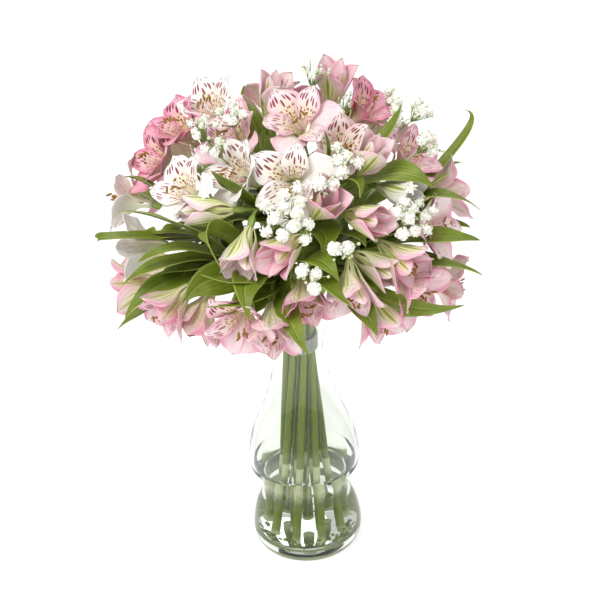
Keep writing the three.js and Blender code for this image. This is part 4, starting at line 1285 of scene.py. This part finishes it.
class LeafyStem:
    """One stem with its umbel's stalks, its ovaries and its leaves."""

    def __init__(self, index: int, node: bpy.types.Object) -> None:
        """Reads the stem's row and its CAD corners.

        Args:
            index: The stem's row.
            node: Its CAD node.
        """
        self.index, self.node = index, f"leafy_stem_{index + 1:02d}"
        self.ring, self.slot, azimuth, elevation = STEMS[index]
        self.umbel = from_middle(azimuth, elevation, UMBEL_REACH)
        self.corners = Corners(node)
        self.draws = random.Random(500 + index)

    def main_stem(self, rods: Rods) -> list[bpy.types.Object]:
        """The stem from its cut end to the knot of its umbel.

        Args:
            rods: What sweeps it.

        Returns:
            The stem, as the first of its parts.
        """
        foot, low, high, leave, end = stem_route(self.ring, self.slot, STEM_FOOT, self.umbel)
        curve = list(bezier(high, leave, end, np.linspace(0, 1, 5)))
        outward = unit(end - curve[-2])
        steps = [mix(foot, low, share) for share in (0, 0.33, 0.66)]
        return [rods.along("stem", through([*steps, low, *curve, end + outward * STALK_SUNK]), STEM_RADII)]

    def stalk(self, bloom: Bloom, rods: Rods) -> list[bpy.types.Object]:
        """The stalk of a bloom, in the variant that the CAD holds, and its ribbed ovary.

        Args:
            bloom: The bloom.
            rods: What sweeps them.

        Returns:
            The stalk and the ovary.
        """
        neck = bloom.base - bloom.axis * OVARY_LENGTH
        found = []
        for aside, upward in STALK_SHIFTS:
            steer = neck - bloom.axis * STALK_STEER + level_across(bloom.axis) * aside + at_height(upward)
            start = self.umbel + unit(steer - self.umbel) * STALK_SUNK
            middle = bezier(start, steer, neck, np.array(0.5))
            found.append((self.corners.around(middle, STALK_RADIUS), start, steer))
        _, start, steer = max(found, key=itemgetter(0))
        line = list(bezier(start, steer, neck, np.linspace(0, 1, 7)))
        stalk = rods.along("stalk", through(line), STALK_RADII)
        line = [neck - bloom.axis * 0.8, neck + bloom.axis * 2]
        line += [bloom.base - bloom.axis * 1.5, bloom.base + bloom.axis * 2.5]
        return [stalk, rods.along("ovary", through(line), OVARY_RADII)]

    def bracts(self, blank: Blank, count: int = 13) -> list[bpy.types.Object]:
        """The whorl of small leaves under the umbel.

        Args:
            blank: One sheet.
            count: How many leaves there are.

        Returns:
            The leaves as thin sheets, not yet given their finish.
        """
        *_, leave, end = stem_route(self.ring, self.slot, 0, self.umbel)
        outward = unit(end - leave)
        side = level_across(outward)
        draws, made = self.draws, []
        s, t = blank.co[:, 0] * 2, blank.co[:, 1] + 0.5
        for i in range(count):
            turn = math.radians(360 * i / count + draws.uniform(-14, 14))
            spread = side * math.cos(turn) + np.cross(outward, side) * math.sin(turn)
            root = end - outward * draws.uniform(0, 8)
            tip = root + spread * draws.uniform(24, 38) + outward * draws.uniform(2, 24)
            bend = root + spread * 12 + outward * draws.uniform(8, 20)
            lift = -0.4 * np.exp(-((s / 0.15) ** 2)) * np.sin(np.pi * t)
            half, twist = draws.uniform(5, 7.5), draws.uniform(-40, 40)
            places = self._leaf_places((root, bend, tip), half, twist, t, s, lift)
            made.append(blank.shaped(f"bract_{self.index + 1:02d}", places))
        return made

    def leaf(self, number: int, blank: Blank) -> bpy.types.Object | None:
        """A leaf in the variant that the CAD holds, or None where it has none.

        Args:
            number: The leaf's row.
            blank: One sheet.

        Returns:
            The leaf as a thin sheet, not yet given its finish.
        """
        _, az1, el1, reach1, az2, el2, reach2, half, twist = LEAVES[number]
        *_, high, leave, end = stem_route(self.ring, self.slot, 0, self.umbel)
        below = bezier(high, leave, end, np.array(2 / 3))
        root = mix(end, below, 0.12 + 0.1 * (half % 1.5))
        best, kept = 0, None
        for outward, rise in LEAF_SHIFTS:
            middle = from_middle(az1, el1 + rise, reach1 + outward)
            tip = from_middle(az2, el2 + rise, reach2 + outward)
            bend = middle * 2 - root * 0.5 - tip * 0.5
            t = np.append(np.repeat([0.34, 0.7], 4), 1.0)
            s = np.append(np.tile([-1.0, 0.0, 1.0, 0.0], 2), 0.0)
            lift = np.append(np.tile([0.0, 0.6, 0.0, -0.6], 2), 0.0)
            found = self.corners.holds(self._leaf_places((root, bend, tip), half, twist, t, s, lift))
            if found > best:
                best, kept = found, (root, bend, tip)
        if best < 2:
            return None
        s, t = blank.co[:, 0] * 2, blank.co[:, 1] + 0.5
        t = 0.02 + 0.98 * np.sin(np.pi / 2 * t)
        phase = self.draws.uniform(0, 1)
        # The blade tapers to a long point.
        half_along = half * 1.08 * (1 - 0.35 * ease(0.5, 0.97, t))
        turn = 2 * np.pi * (1.7 * t + phase) + 1.1 * np.sign(s)
        wave = 0.12 * half * s**2 * np.sin(turn) * np.sin(np.pi * t)
        keel = -0.6 * np.exp(-((s / 0.12) ** 2)) * np.sin(np.pi * t)
        places = self._leaf_places(kept, half_along, twist, t, s, wave + keel)
        piece = blank.shaped(f"leaf_{number + 1:02d}", places)
        mark(piece, "tint", np.full(len(t), self.draws.uniform(0, 1)))
        return piece

    @staticmethod
    def _leaf_places(
        path: tuple[np.ndarray, np.ndarray, np.ndarray],
        half: np.ndarray | float,
        twist: float,
        t: np.ndarray,
        s: np.ndarray,
        lift: np.ndarray,
    ) -> np.ndarray:
        """Points on a leaf.

        Args:
            path: The root, bend and tip of its midrib's curve.
            half: Its half width.
            twist: How far it is turned at its tip, in degrees.
            t: Shares of its length.
            s: Places across it, from -1 to 1.
            lift: How far the points stand off its face.

        Returns:
            One point per row.
        """
        root, bend, tip = path

        def tangent(u: np.ndarray) -> np.ndarray:
            """The curve's unit directions at shares u."""
            return unit(2 * (1 - u)[:, None] * (bend - root) + 2 * u[:, None] * (tip - bend))

        along = tangent(np.array([0.5]))[0]
        across = np.cross(along, unit(bezier(root, bend, tip, np.array(0.5)) - MIDDLE))
        across = unit(across) if np.linalg.norm(across) > 0.4 else -level_across(along)
        at, ahead = bezier(root, bend, tip, t), tangent(t)
        side = unit(across - ahead * (ahead @ across)[:, None])
        turn = np.radians(twist) * t[:, None]
        side = side * np.cos(turn) + np.cross(ahead, side) * np.sin(turn)
        face = np.cross(side, ahead)
        width = half * np.maximum(0.16 * (1 - t), np.maximum(np.sin(np.pi * t**0.8), 0) ** 0.9)
        return at + side * (s * width)[:, None] + face * (0.2 * width * s * s + lift)[:, None]


@dataclass
class LeafyStems:
    """All the leafy stems."""

    leaf_thickness: float = 0.5
    bract_tint: float = 0.2

    def build(self, nodes: dict[str, bpy.types.Object], blooms: list[Bloom]) -> None:
        """Builds and dresses the stems, stalks and leaves.

        Args:
            nodes: The CAD nodes by name.
            blooms: The blooms, each of which gets a stalk.
        """
        stems = [LeafyStem(i, nodes[f"leafy_stem_{i + 1:02d}"]) for i in range(len(STEMS))]
        thick, thin = Rods(sides=14, rings=28), Rods(sides=8, rings=10)
        skin, leaf_skins = STALK.material(), [LEAF.material(side) for side in Side]
        parts = [stem.main_stem(thick) for stem in stems]
        for bloom in blooms:
            gaps = [np.linalg.norm(stem.umbel - bloom.base) for stem in stems]
            owner = int(np.argmin(gaps))
            parts[owner] += stems[owner].stalk(bloom, thin)
        for stem, made in zip(stems, parts):
            piece = joined(f"{stem.node}_stalks", made)
            dress(piece, skin)
            finished(piece, "foliage", [stem.node], smooth=50)
        small = sheet_blank(4, 12)
        for stem in stems:
            piece = joined(f"{stem.node}_bracts", stem.bracts(small))
            mark(piece, "tint", np.full(len(piece.data.vertices), self.bract_tint))
            self._finish_leaf(piece, stem, leaf_skins)
        sheet = sheet_blank(8, 26)
        for number, row in enumerate(LEAVES):
            piece = stems[row[0]].leaf(number, sheet)
            if piece is None:
                log.info("leaf %d has no room", number)
            else:
                self._finish_leaf(piece, stems[row[0]], leaf_skins)

    def _finish_leaf(self, piece: bpy.types.Object, stem: LeafyStem, skins: list[bpy.types.Material]) -> None:
        """Gives a leaf or bracts their thickness and skins, and lets them stand for their stem."""
        thickened(piece, self.leaf_thickness, *skins)
        finished(piece, "foliage", [stem.node])


# ---------------------------------------------------------------- baby's breath


def floret_blank(petals: int = 22) -> Blank:
    """A double floret of radius 1: notched petals in a spiral, packed round a small core into a frilly ball.

    Args:
        petals: How many petals it has.

    Returns:
        The blank, its back at z = -0.6 and its top near z = 1.
    """
    deselect()
    bpy.ops.mesh.primitive_ico_sphere_add(subdivisions=2, radius=0.74)
    sheets = [bpy.context.object]
    for number in range(petals):
        deselect()
        bpy.ops.mesh.primitive_grid_add(x_subdivisions=3, y_subdivisions=2, size=1)
        sheet = bpy.context.object
        share = (number + 0.5) / petals
        lean = math.acos(1 - 1.5 * share)
        turn = math.radians(number * GOLDEN_ANGLE)
        for corner in sheet.data.vertices:
            s, t = corner.co.x * 2, corner.co.y + 0.5
            aside = s * (0.16 + 0.24 * t)
            notch = 0.1 * (1 - abs(s)) * t**3 * (1 if number % 2 else -0.4)
            curl = 0.2 * s * s * t + 0.34 * t * (1 if number % 3 else -0.5)
            reach = 0.5 + (0.5 + 0.06 * ((number * 7) % 3)) * t - notch
            out, high = reach * math.sin(lean + curl), reach * math.cos(lean + curl)
            x = out * math.cos(turn) - aside * math.sin(turn)
            y = out * math.sin(turn) + aside * math.cos(turn)
            corner.co = (x, y, high + 0.06 * math.sin(9 * s + number) * t)
        sheets.append(sheet)
    return Blank(joined("floret_blank", sheets))


class Spray:
    """One spray of baby's breath: its stem, twigs, double florets and closed buds."""

    def __init__(self, index: int, node: bpy.types.Object) -> None:
        """Reads the spray's row and its CAD corners.

        Args:
            index: The spray's row.
            node: Its CAD node.
        """
        self.index = index
        self.slot, self.foot, azimuth, elevation, self.size, self.heads = SPRAYS[index]
        self.fork = from_middle(azimuth, elevation, FORK_REACH)
        self.corners = Corners(node)
        self.draws = random.Random(900 + index)

    def stem(self, rods: Rods) -> list[bpy.types.Object]:
        """The spray's stem, with a swollen node above its cut end.

        Args:
            rods: What sweeps it.

        Returns:
            The stem and its node.
        """
        foot, low, high, leave, end = stem_route(Ring.SPRAY, self.slot, self.foot, self.fork)
        curve = list(bezier(high, leave, end, np.linspace(0, 1, 5)))
        points = [mix(foot, low, share) for share in (0, 0.04, 0.1, 0.4, 0.7)] + [low, *curve]
        node = through([mix(foot, low, share) for share in (0.0, 0.03, 0.06)])
        return [rods.along("stem", through(points), SPRAY_RADII), rods.along("node", node, NODE_RADII)]

    def head_stalk(self, head: tuple, rods: Rods) -> list[bpy.types.Object]:
        """The stalk of one head, in the variant that the CAD holds.

        Args:
            head: The head's row.
            rods: What sweeps it.

        Returns:
            The stalk, as a list of one.
        """
        hub = from_middle(head[0], head[1], head[2] - FLORET_STALK)
        found = []
        for aside, upward in STALK_SHIFTS:
            middle = mix(self.fork, hub, 0.5) + at_height(upward)
            middle = middle + level_across(unit(hub - self.fork)) * aside
            found.append((self.corners.around(middle, FLORET_TWIG), middle))
        middle = max(found, key=itemgetter(0))[1]
        return [rods.along("stalk", through([self.fork, middle, hub]), (0.8, 0.65, 0.6, 0.55))]

    def florets(self, head: tuple) -> list[tuple[np.ndarray, np.ndarray]]:
        """The middle and outward direction of each floret of a head that the CAD holds.

        Args:
            head: The head's row.

        Returns:
            A middle and a direction for each.
        """
        azimuth, elevation, reach, count = head
        outward = direction(azimuth, elevation)
        side = level_across(outward)
        up = np.cross(outward, side)
        hub = from_middle(azimuth, elevation, reach - FLORET_STALK)
        held = []
        for i in range(count):
            radius = FLORET_SPACING * self.size * math.sqrt(i + 0.5)
            turn = math.radians(i * GOLDEN_ANGLE + azimuth)
            middle = from_middle(azimuth, elevation, reach - radius * radius / HEAD_CROWN + (i * 7) % 5 - 2)
            middle = middle + side * radius * math.cos(turn) + up * radius * math.sin(turn)
            best, place = 0, None
            for shift in FLORET_SHIFTS:
                end = middle + unit(middle - MIDDLE) * shift
                root = hub + unit(end - hub) * FLORET_HUB * 0.6
                along = unit(end - root)
                found = self.corners.holds([end + along * self.size * FLORET_DEPTH])
                found = 3 * found + self.corners.around(end, self.size)
                if found > best:
                    best, place = found, (end, along)
            if best > 1:
                held.append(place)
        return held


@dataclass
class Sprays:
    """All the sprays of baby's breath."""

    floret_scale: float = 1.02
    floret_spread: tuple[float, float] = (0.86, 1.06)
    buds_per_head: int = 12
    bud_radius: tuple[float, float] = (0.9, 1.7)
    bud_reach: tuple[float, float] = (11, 21)
    hair_radii: tuple[float, ...] = (0.45, 0.35, 0.3)

    def build(self, nodes: dict[str, bpy.types.Object]) -> None:
        """Builds and dresses the sprays.

        Args:
            nodes: The CAD nodes by name.
        """
        rods, hairs = Rods(sides=7, rings=20), Rods(sides=4, rings=5)
        floret, pebble = floret_blank(), pebble_blank(1)
        twig_skin, petal_skin, bud_skin = TWIG.material(), FLORET.material(), FLORET_BUD.material()
        for i in range(len(SPRAYS)):
            spray = Spray(i, nodes[f"spray_{i + 1}"])
            twigs, balls, buds = spray.stem(rods), [], []
            for head in spray.heads:
                twigs += spray.head_stalk(head, rods)
                hub = from_middle(head[0], head[1], head[2] - FLORET_STALK)
                held = spray.florets(head)
                for end, along in held:
                    twigs.append(self._hair(hairs, hub, end - along * spray.size * 0.6, spray.draws))
                    balls.append(self._ball(floret, end, along, spray))
                for _ in range(self.buds_per_head):
                    twig, bud = self._bud(hairs, pebble, hub, head, spray)
                    twigs.append(twig)
                    buds.append(bud)
            for name, parts, skin, slot in (
                ("twigs", twigs, twig_skin, "foliage"),
                ("florets", balls, petal_skin, "floret"),
                ("buds", buds, bud_skin, "floret"),
            ):
                piece = joined(f"spray_{i + 1}_{name}", parts)
                dress(piece, skin)
                finished(piece, slot, [f"spray_{i + 1}"])

    def _hair(self, rods: Rods, start: np.ndarray, end: np.ndarray, draws: random.Random) -> bpy.types.Object:
        """A thread-thin twig with a slight bow."""
        middle = (start + end) / 2 + np.array([draws.uniform(-1, 1) for _ in range(3)])
        return rods.along("twig", through([start, middle, end]), self.hair_radii)

    def _ball(self, blank: Blank, middle: np.ndarray, along: np.ndarray, spray: Spray) -> bpy.types.Object:
        """One floret, turned and sized by a draw.

        Args:
            blank: The floret.
            middle: Where it sits.
            along: Where it faces.
            spray: Its spray.

        Returns:
            The floret, not yet given its finish.
        """
        across = turned_about(level_across(along), along, spray.draws.uniform(0, 2 * math.pi))
        up = np.cross(along, across)
        size = spray.size * self.floret_scale * spray.draws.uniform(*self.floret_spread)
        co = blank.co * size
        places = middle - along * size * 0.35 + co[:, :1] * across + co[:, 1:2] * up + co[:, 2:] * along
        return blank.shaped("floret", places)

    def _bud(
        self, rods: Rods, pebble: Blank, hub: np.ndarray, head: tuple, spray: Spray
    ) -> tuple[bpy.types.Object, bpy.types.Object]:
        """A closed bud on a twig of its own, beside or beyond the florets of a head.

        Args:
            rods: What sweeps the twig.
            pebble: A round blank.
            hub: Where the twig starts.
            head: The head's row.
            spray: Its spray.

        Returns:
            The twig and the bud.
        """
        draws = spray.draws
        outward = direction(head[0], head[1])
        side = level_across(outward)
        up = np.cross(outward, side)
        turn, spread = draws.uniform(0, 2 * math.pi), draws.uniform(0.25, 0.85)
        aim = unit(outward + (side * math.cos(turn) + up * math.sin(turn)) * spread)
        end = hub + aim * draws.uniform(*self.bud_reach)
        twig = self._hair(rods, hub, end, draws)
        return twig, pebble.shaped("bud", end + pebble.co * draws.uniform(*self.bud_radius))


# ---------------------------------------------------------------- the vase, the water and the tie


def lathe(name: str, profile: Sequence[tuple[float, float]], steps: int) -> bpy.types.Object:
    """A closed solid of revolution, drawn ring by ring from a circle.

    Args:
        name: The name of the piece.
        profile: Radius and height in millimetres of each ring; the first and last are closed over.
        steps: Corners round each ring.

    Returns:
        The piece.
    """
    deselect()
    radius, height = profile[0]
    bpy.ops.mesh.primitive_circle_add(
        vertices=steps, radius=radius * MM, location=(0, 0, height * MM), fill_type="NGON"
    )
    piece = bpy.context.object
    bpy.ops.object.transform_apply(location=True, rotation=True, scale=True)
    bpy.ops.object.mode_set(mode="EDIT")
    for (before, low), (after, high) in zip(profile, profile[1:]):
        bpy.ops.mesh.extrude_region_move(TRANSFORM_OT_translate={"value": (0, 0, (high - low) * MM)})
        share = after / before
        bpy.ops.transform.resize(value=(share, share, 1), center_override=(0, 0, high * MM))
    bpy.ops.mesh.select_all(action="SELECT")
    bpy.ops.mesh.normals_make_consistent(inside=False)
    bpy.ops.object.mode_set(mode="OBJECT")
    piece.name = piece.data.name = name
    return piece


def smooth_profile(points: Sequence[tuple[float, float]], steps: int) -> list[tuple[float, float]]:
    """Points along the smooth curve through a profile's turns, evenly spaced."""
    path = through([np.array([r, 0.0, z]) for r, z in points])
    return [(float(p[0]), float(p[2])) for p in path(np.linspace(0, 1, steps))]


def skin_where(piece: bpy.types.Object, skin: bpy.types.Material, chosen: np.ndarray) -> None:
    """Gives a piece a further skin on some of its faces.

    Args:
        piece: The piece.
        skin: The skin.
        chosen: Whether each face gets it.
    """
    piece.data.materials.append(skin)
    for face in np.flatnonzero(chosen):
        piece.data.polygons[face].material_index = len(piece.data.materials) - 1


def face_places(piece: bpy.types.Object) -> tuple[np.ndarray, np.ndarray]:
    """The radius and the height of each face's middle, in millimetres."""
    centres = np.array([face.center for face in piece.data.polygons]) / MM
    return np.hypot(centres[:, 0], centres[:, 1]), centres[:, 2]


@dataclass
class Vase:
    """The waisted glass vase and what is in it; its profile and water level are the CAD's."""

    steps: int = 96
    rings: int = 60
    rim_radius: float = 1.3
    foot: tuple = ((30.0, 1.6), (38.0, 0.9), (40.0, 0.0))
    # The radius from which the foot's ring carries the painted reflection of the stems.
    painted_reflection_from: float = 33.0
    bubbles: int = 70
    scraps: int = 34
    scrap_thickness: float = 0.3

    def inner_wall(self, inward: float = 0.0) -> list[tuple[float, float]]:
        """The inner wall's turns from the floor to the rim, moved in by a distance."""
        low = (VASE_TURNS[1][0] - WALL - 4 - inward, FLOOR)
        return [low, *((r - WALL - inward, z) for r, z in VASE_TURNS[2:])]

    def build(self) -> None:
        """Builds and dresses the vase, the water, the bubbles and the scraps of leaf."""
        self._build_glass()
        self._build_water()
        self._build_bubbles()
        self._build_scraps()

    def _build_glass(self) -> None:
        """The vase: one turned wall with a rounded rim, a hollow under its foot and a dished floor."""
        outside = smooth_profile(VASE_TURNS, self.rings)
        inside = smooth_profile(self.inner_wall(), self.rings)[::-1]
        top_r, top_z = outside[-1][0] - WALL / 2, outside[-1][1]
        rim = [
            (top_r + WALL / 2 * math.cos(a), top_z - 0.4 + self.rim_radius * math.sin(a))
            for a in np.linspace(0.4, math.pi - 0.4, 6)
        ]
        pit = [(inside[-1][0] * 0.93, FLOOR - 0.6), (inside[-1][0] * 0.5, FLOOR - 1.2), (4.0, FLOOR - 1.4)]
        vase = lathe("vase_glass", [*self.foot, *outside, *rim, *inside, *pit], self.steps)
        dress(vase, GLASS.material())
        radius, z = face_places(vase)
        walls = np.array(outside)
        inner = radius < np.interp(z, walls[:, 1], walls[:, 0]) - WALL / 2
        skin_where(vase, WET_GLASS.material(), inner & (z > FLOOR - 2) & (z < WATER_LEVEL + 0.5))
        # Painted reflection: the ring under the foot is green for the stems seen in the glass.
        skin_where(vase, FOOT_PAINTED_REFLECTION.material(), (radius > self.painted_reflection_from) & (z < 1.4))
        finished(vase, "glass", ["vase"], smooth=40)

    def _build_water(self) -> None:
        """The water: it wets the glass, and its edge climbs a little at the wall."""
        wet = smooth_profile(self.inner_wall(-0.25), self.rings)
        side = [(r, z - (0.3 if z < FLOOR + 1 else 0)) for r, z in wet if z < WATER_LEVEL - 1.5]
        edge = np.interp(WATER_LEVEL, [z for _, z in wet], [r for r, _ in wet])
        bed = [(4.0, FLOOR - 1.7), (side[0][0] * 0.5, FLOOR - 1.5)]
        top = [
            (edge, WATER_LEVEL + 1.4),
            (edge - 1.2, WATER_LEVEL + 0.4),
            (edge - 3.5, WATER_LEVEL),
            (edge * 0.5, WATER_LEVEL - 0.1),
            (3.0, WATER_LEVEL - 0.1),
        ]
        water = lathe("water_body", [*bed, *side, *top], self.steps)
        dress(water, WATER.material())
        upward = np.array([face.normal.z for face in water.data.polygons])
        skin_where(water, WET_SKIN.material(), (face_places(water)[1] < WATER_LEVEL - 0.5) | (upward < 0.3))
        finished(water, "water", ["water"], smooth=60)

    def _build_bubbles(self) -> None:
        """Air bubbles on the inside of the glass under water."""
        draws = random.Random(77)
        pebble, made = pebble_blank(2), []
        wall = smooth_profile(self.inner_wall(), self.rings)
        for _ in range(self.bubbles):
            z = FLOOR + 1 + (WATER_LEVEL - FLOOR - 4) * draws.random() ** 1.6
            radius = float(np.interp(z, [p[1] for p in wall], [p[0] for p in wall]))
            size = draws.uniform(0.35, 0.95)
            place = direction(draws.uniform(0, 360), 0) * (radius - size - 0.5) + at_height(z)
            made.append(pebble.shaped("bubble", place + pebble.co * size))
        bubbles = joined("water_bubbles", made)
        dress(bubbles, AIR.material())
        finished(bubbles, "water")

    def _build_scraps(self) -> None:
        """Scraps of leaf that have come off the stems and lie on the vase's floor."""
        draws = random.Random(41)
        blank, made = sheet_blank(2, 4), []
        x, y = blank.co[:, :1], blank.co[:, 1:2]
        for _ in range(self.scraps):
            turn, reach = draws.uniform(-95, 95), draws.uniform(24, 33.5)
            middle = direction(turn, 0) * reach + at_height(FLOOR + draws.uniform(0.9, 3.2))
            along = direction(turn + 90 + draws.uniform(-40, 40), draws.uniform(-12, 12))
            across = unit(np.cross(along, direction(turn, draws.uniform(30, 80))))
            length, width = draws.uniform(3, 7), draws.uniform(1.6, 3.2)
            bow = 0.5 * np.cross(across, along) * (1 - 4 * y * y)
            aside = across * x * width * (1 - 2 * y * y)
            made.append(blank.shaped("scrap", middle + aside + along * y * length + bow))
        scraps = joined("water_leaf_scraps", made)
        thickened(scraps, self.scrap_thickness, LEAF.material(Side.OUTER))
        finished(scraps, "foliage")


@dataclass
class Tie:
    """String wound round the stems inside the vase's neck."""

    turns: int = 7
    string_radius: float = 1.05

    def build(self) -> None:
        """Builds and dresses the string, an uneven helix."""
        rods = Rods(sides=8, rings=self.turns * 26)
        radius = TIE_INNER - 0.1 + self.string_radius
        draws = random.Random(31)
        wobble = [draws.uniform(-0.35, 0.35) for _ in range(self.turns * 5 + 1)]

        def helix(t: np.ndarray) -> np.ndarray:
            """The string's centreline.

            Args:
                t: Shares of its length.

            Returns:
                One point per share.
            """
            turn = 2 * np.pi * self.turns * t
            low, high = TIE_LOW + self.string_radius, TIE_HIGH - self.string_radius
            uneven = np.interp(t, np.linspace(0, 1, len(wobble)), wobble)
            height = low + (high - low) * t + uneven
            swell = radius + 0.25 * np.sin(3 * turn)
            return np.stack([swell * np.sin(turn), -swell * np.cos(turn), height], axis=-1)

        string = rods.along("tie_string", helix, (self.string_radius,) * 2)
        dress(string, STRING.material())
        finished(string, "string", ["tie"])


# ---------------------------------------------------------------- the studio


@dataclass(frozen=True)
class Lamp:
    """A soft square light: its name, place in metres, size in metres and power in watts."""

    name: str
    place: tuple[float, float, float]
    size: float
    power: float

    def add(self, aim: Vector) -> None:
        """Adds the light, turned towards a point.

        Args:
            aim: The point.
        """
        deselect()
        turn = (aim - Vector(self.place)).to_track_quat("-Z", "Y").to_euler()
        bpy.ops.object.light_add(type="AREA", location=self.place, rotation=turn)
        lamp = bpy.context.object
        lamp.name = f"{self.name}_light"
        lamp.data.size, lamp.data.energy = self.size, self.power


LAMPS = (
    Lamp("key", (-0.8, -1.0, 1.9), 0.9, 26.0),
    Lamp("fill", (1.5, -0.9, 1.1), 1.2, 4.0),
    Lamp("back", (0.3, 1.5, 1.7), 1.4, 7.0),
)


@dataclass
class Studio:
    """Camera, floor and lights; places in metres, angles in degrees."""

    eye: tuple[float, float, float] = (0.0, -1.15, 0.905)
    pitch: float = 30.45
    roll: float = 3.0
    lens: float = 101.4
    shift: float = 0.0063
    floor_size: float = 30.0
    floor_drop: float = 0.0004
    room_light: float = 0.62

    def place_camera(self) -> None:
        """Adds the camera, looking down on the bunch from the front, slightly rolled."""
        pitch, roll = math.radians(self.pitch), math.radians(self.roll)
        ahead = Vector((0, math.cos(pitch), -math.sin(pitch)))
        right = Vector((1, 0, 0))
        up = right.cross(ahead)
        across = right * math.cos(roll) - up * math.sin(roll)
        above = up * math.cos(roll) + right * math.sin(roll)
        deselect()
        bpy.ops.object.camera_add()
        camera = bpy.context.object
        turn = Matrix((across, above, -ahead)).transposed().to_4x4()
        camera.matrix_world = Matrix.Translation(self.eye) @ turn
        camera.data.lens, camera.data.sensor_width = self.lens, 36.0
        camera.data.shift_x = self.shift
        camera.data.clip_start, camera.data.clip_end = 0.05, 20.0
        bpy.context.scene.camera = camera

    def build(self) -> None:
        """Adds the floor, the soft lights and the white surroundings."""
        deselect()
        bpy.ops.mesh.primitive_plane_add(size=self.floor_size, location=(0, 0, -self.floor_drop))
        floor = bpy.context.object
        floor.name = "studio_floor"
        # White matt paper, lit from below so that it stays white around a bunch that isn't overlit.
        paper = Paint("white_paper").done(
            Base_Color=linear("#bcbcbc"),
            Roughness=0.9,
            Emission_Color=linear("#ffffff"),
            Emission_Strength=0.7,
        )
        dress(floor, paper)
        for lamp in LAMPS:
            lamp.add(Vector((0, 0, 0.25)))
        world = bpy.data.worlds.new("white_room")
        bpy.context.scene.world = world
        world.use_nodes = True
        room = world.node_tree.nodes["Background"]
        room.inputs["Color"].default_value = linear("#ffffff")
        room.inputs["Strength"].default_value = self.room_light
        bpy.context.scene.view_settings.view_transform = "Standard"


def main() -> None:
    """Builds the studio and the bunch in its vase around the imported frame."""
    logging.basicConfig(level=logging.INFO, format="%(name)s: %(message)s")
    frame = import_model()
    studio = Studio()
    studio.place_camera()
    studio.build()
    Vase().build()
    Tie().build()
    blooms = Blooms()
    blooms.build(frame["nodes"])
    LeafyStems().build(frame["nodes"], blooms.made)
    Sprays().build(frame["nodes"])


if __name__ == "__main__":
    main()
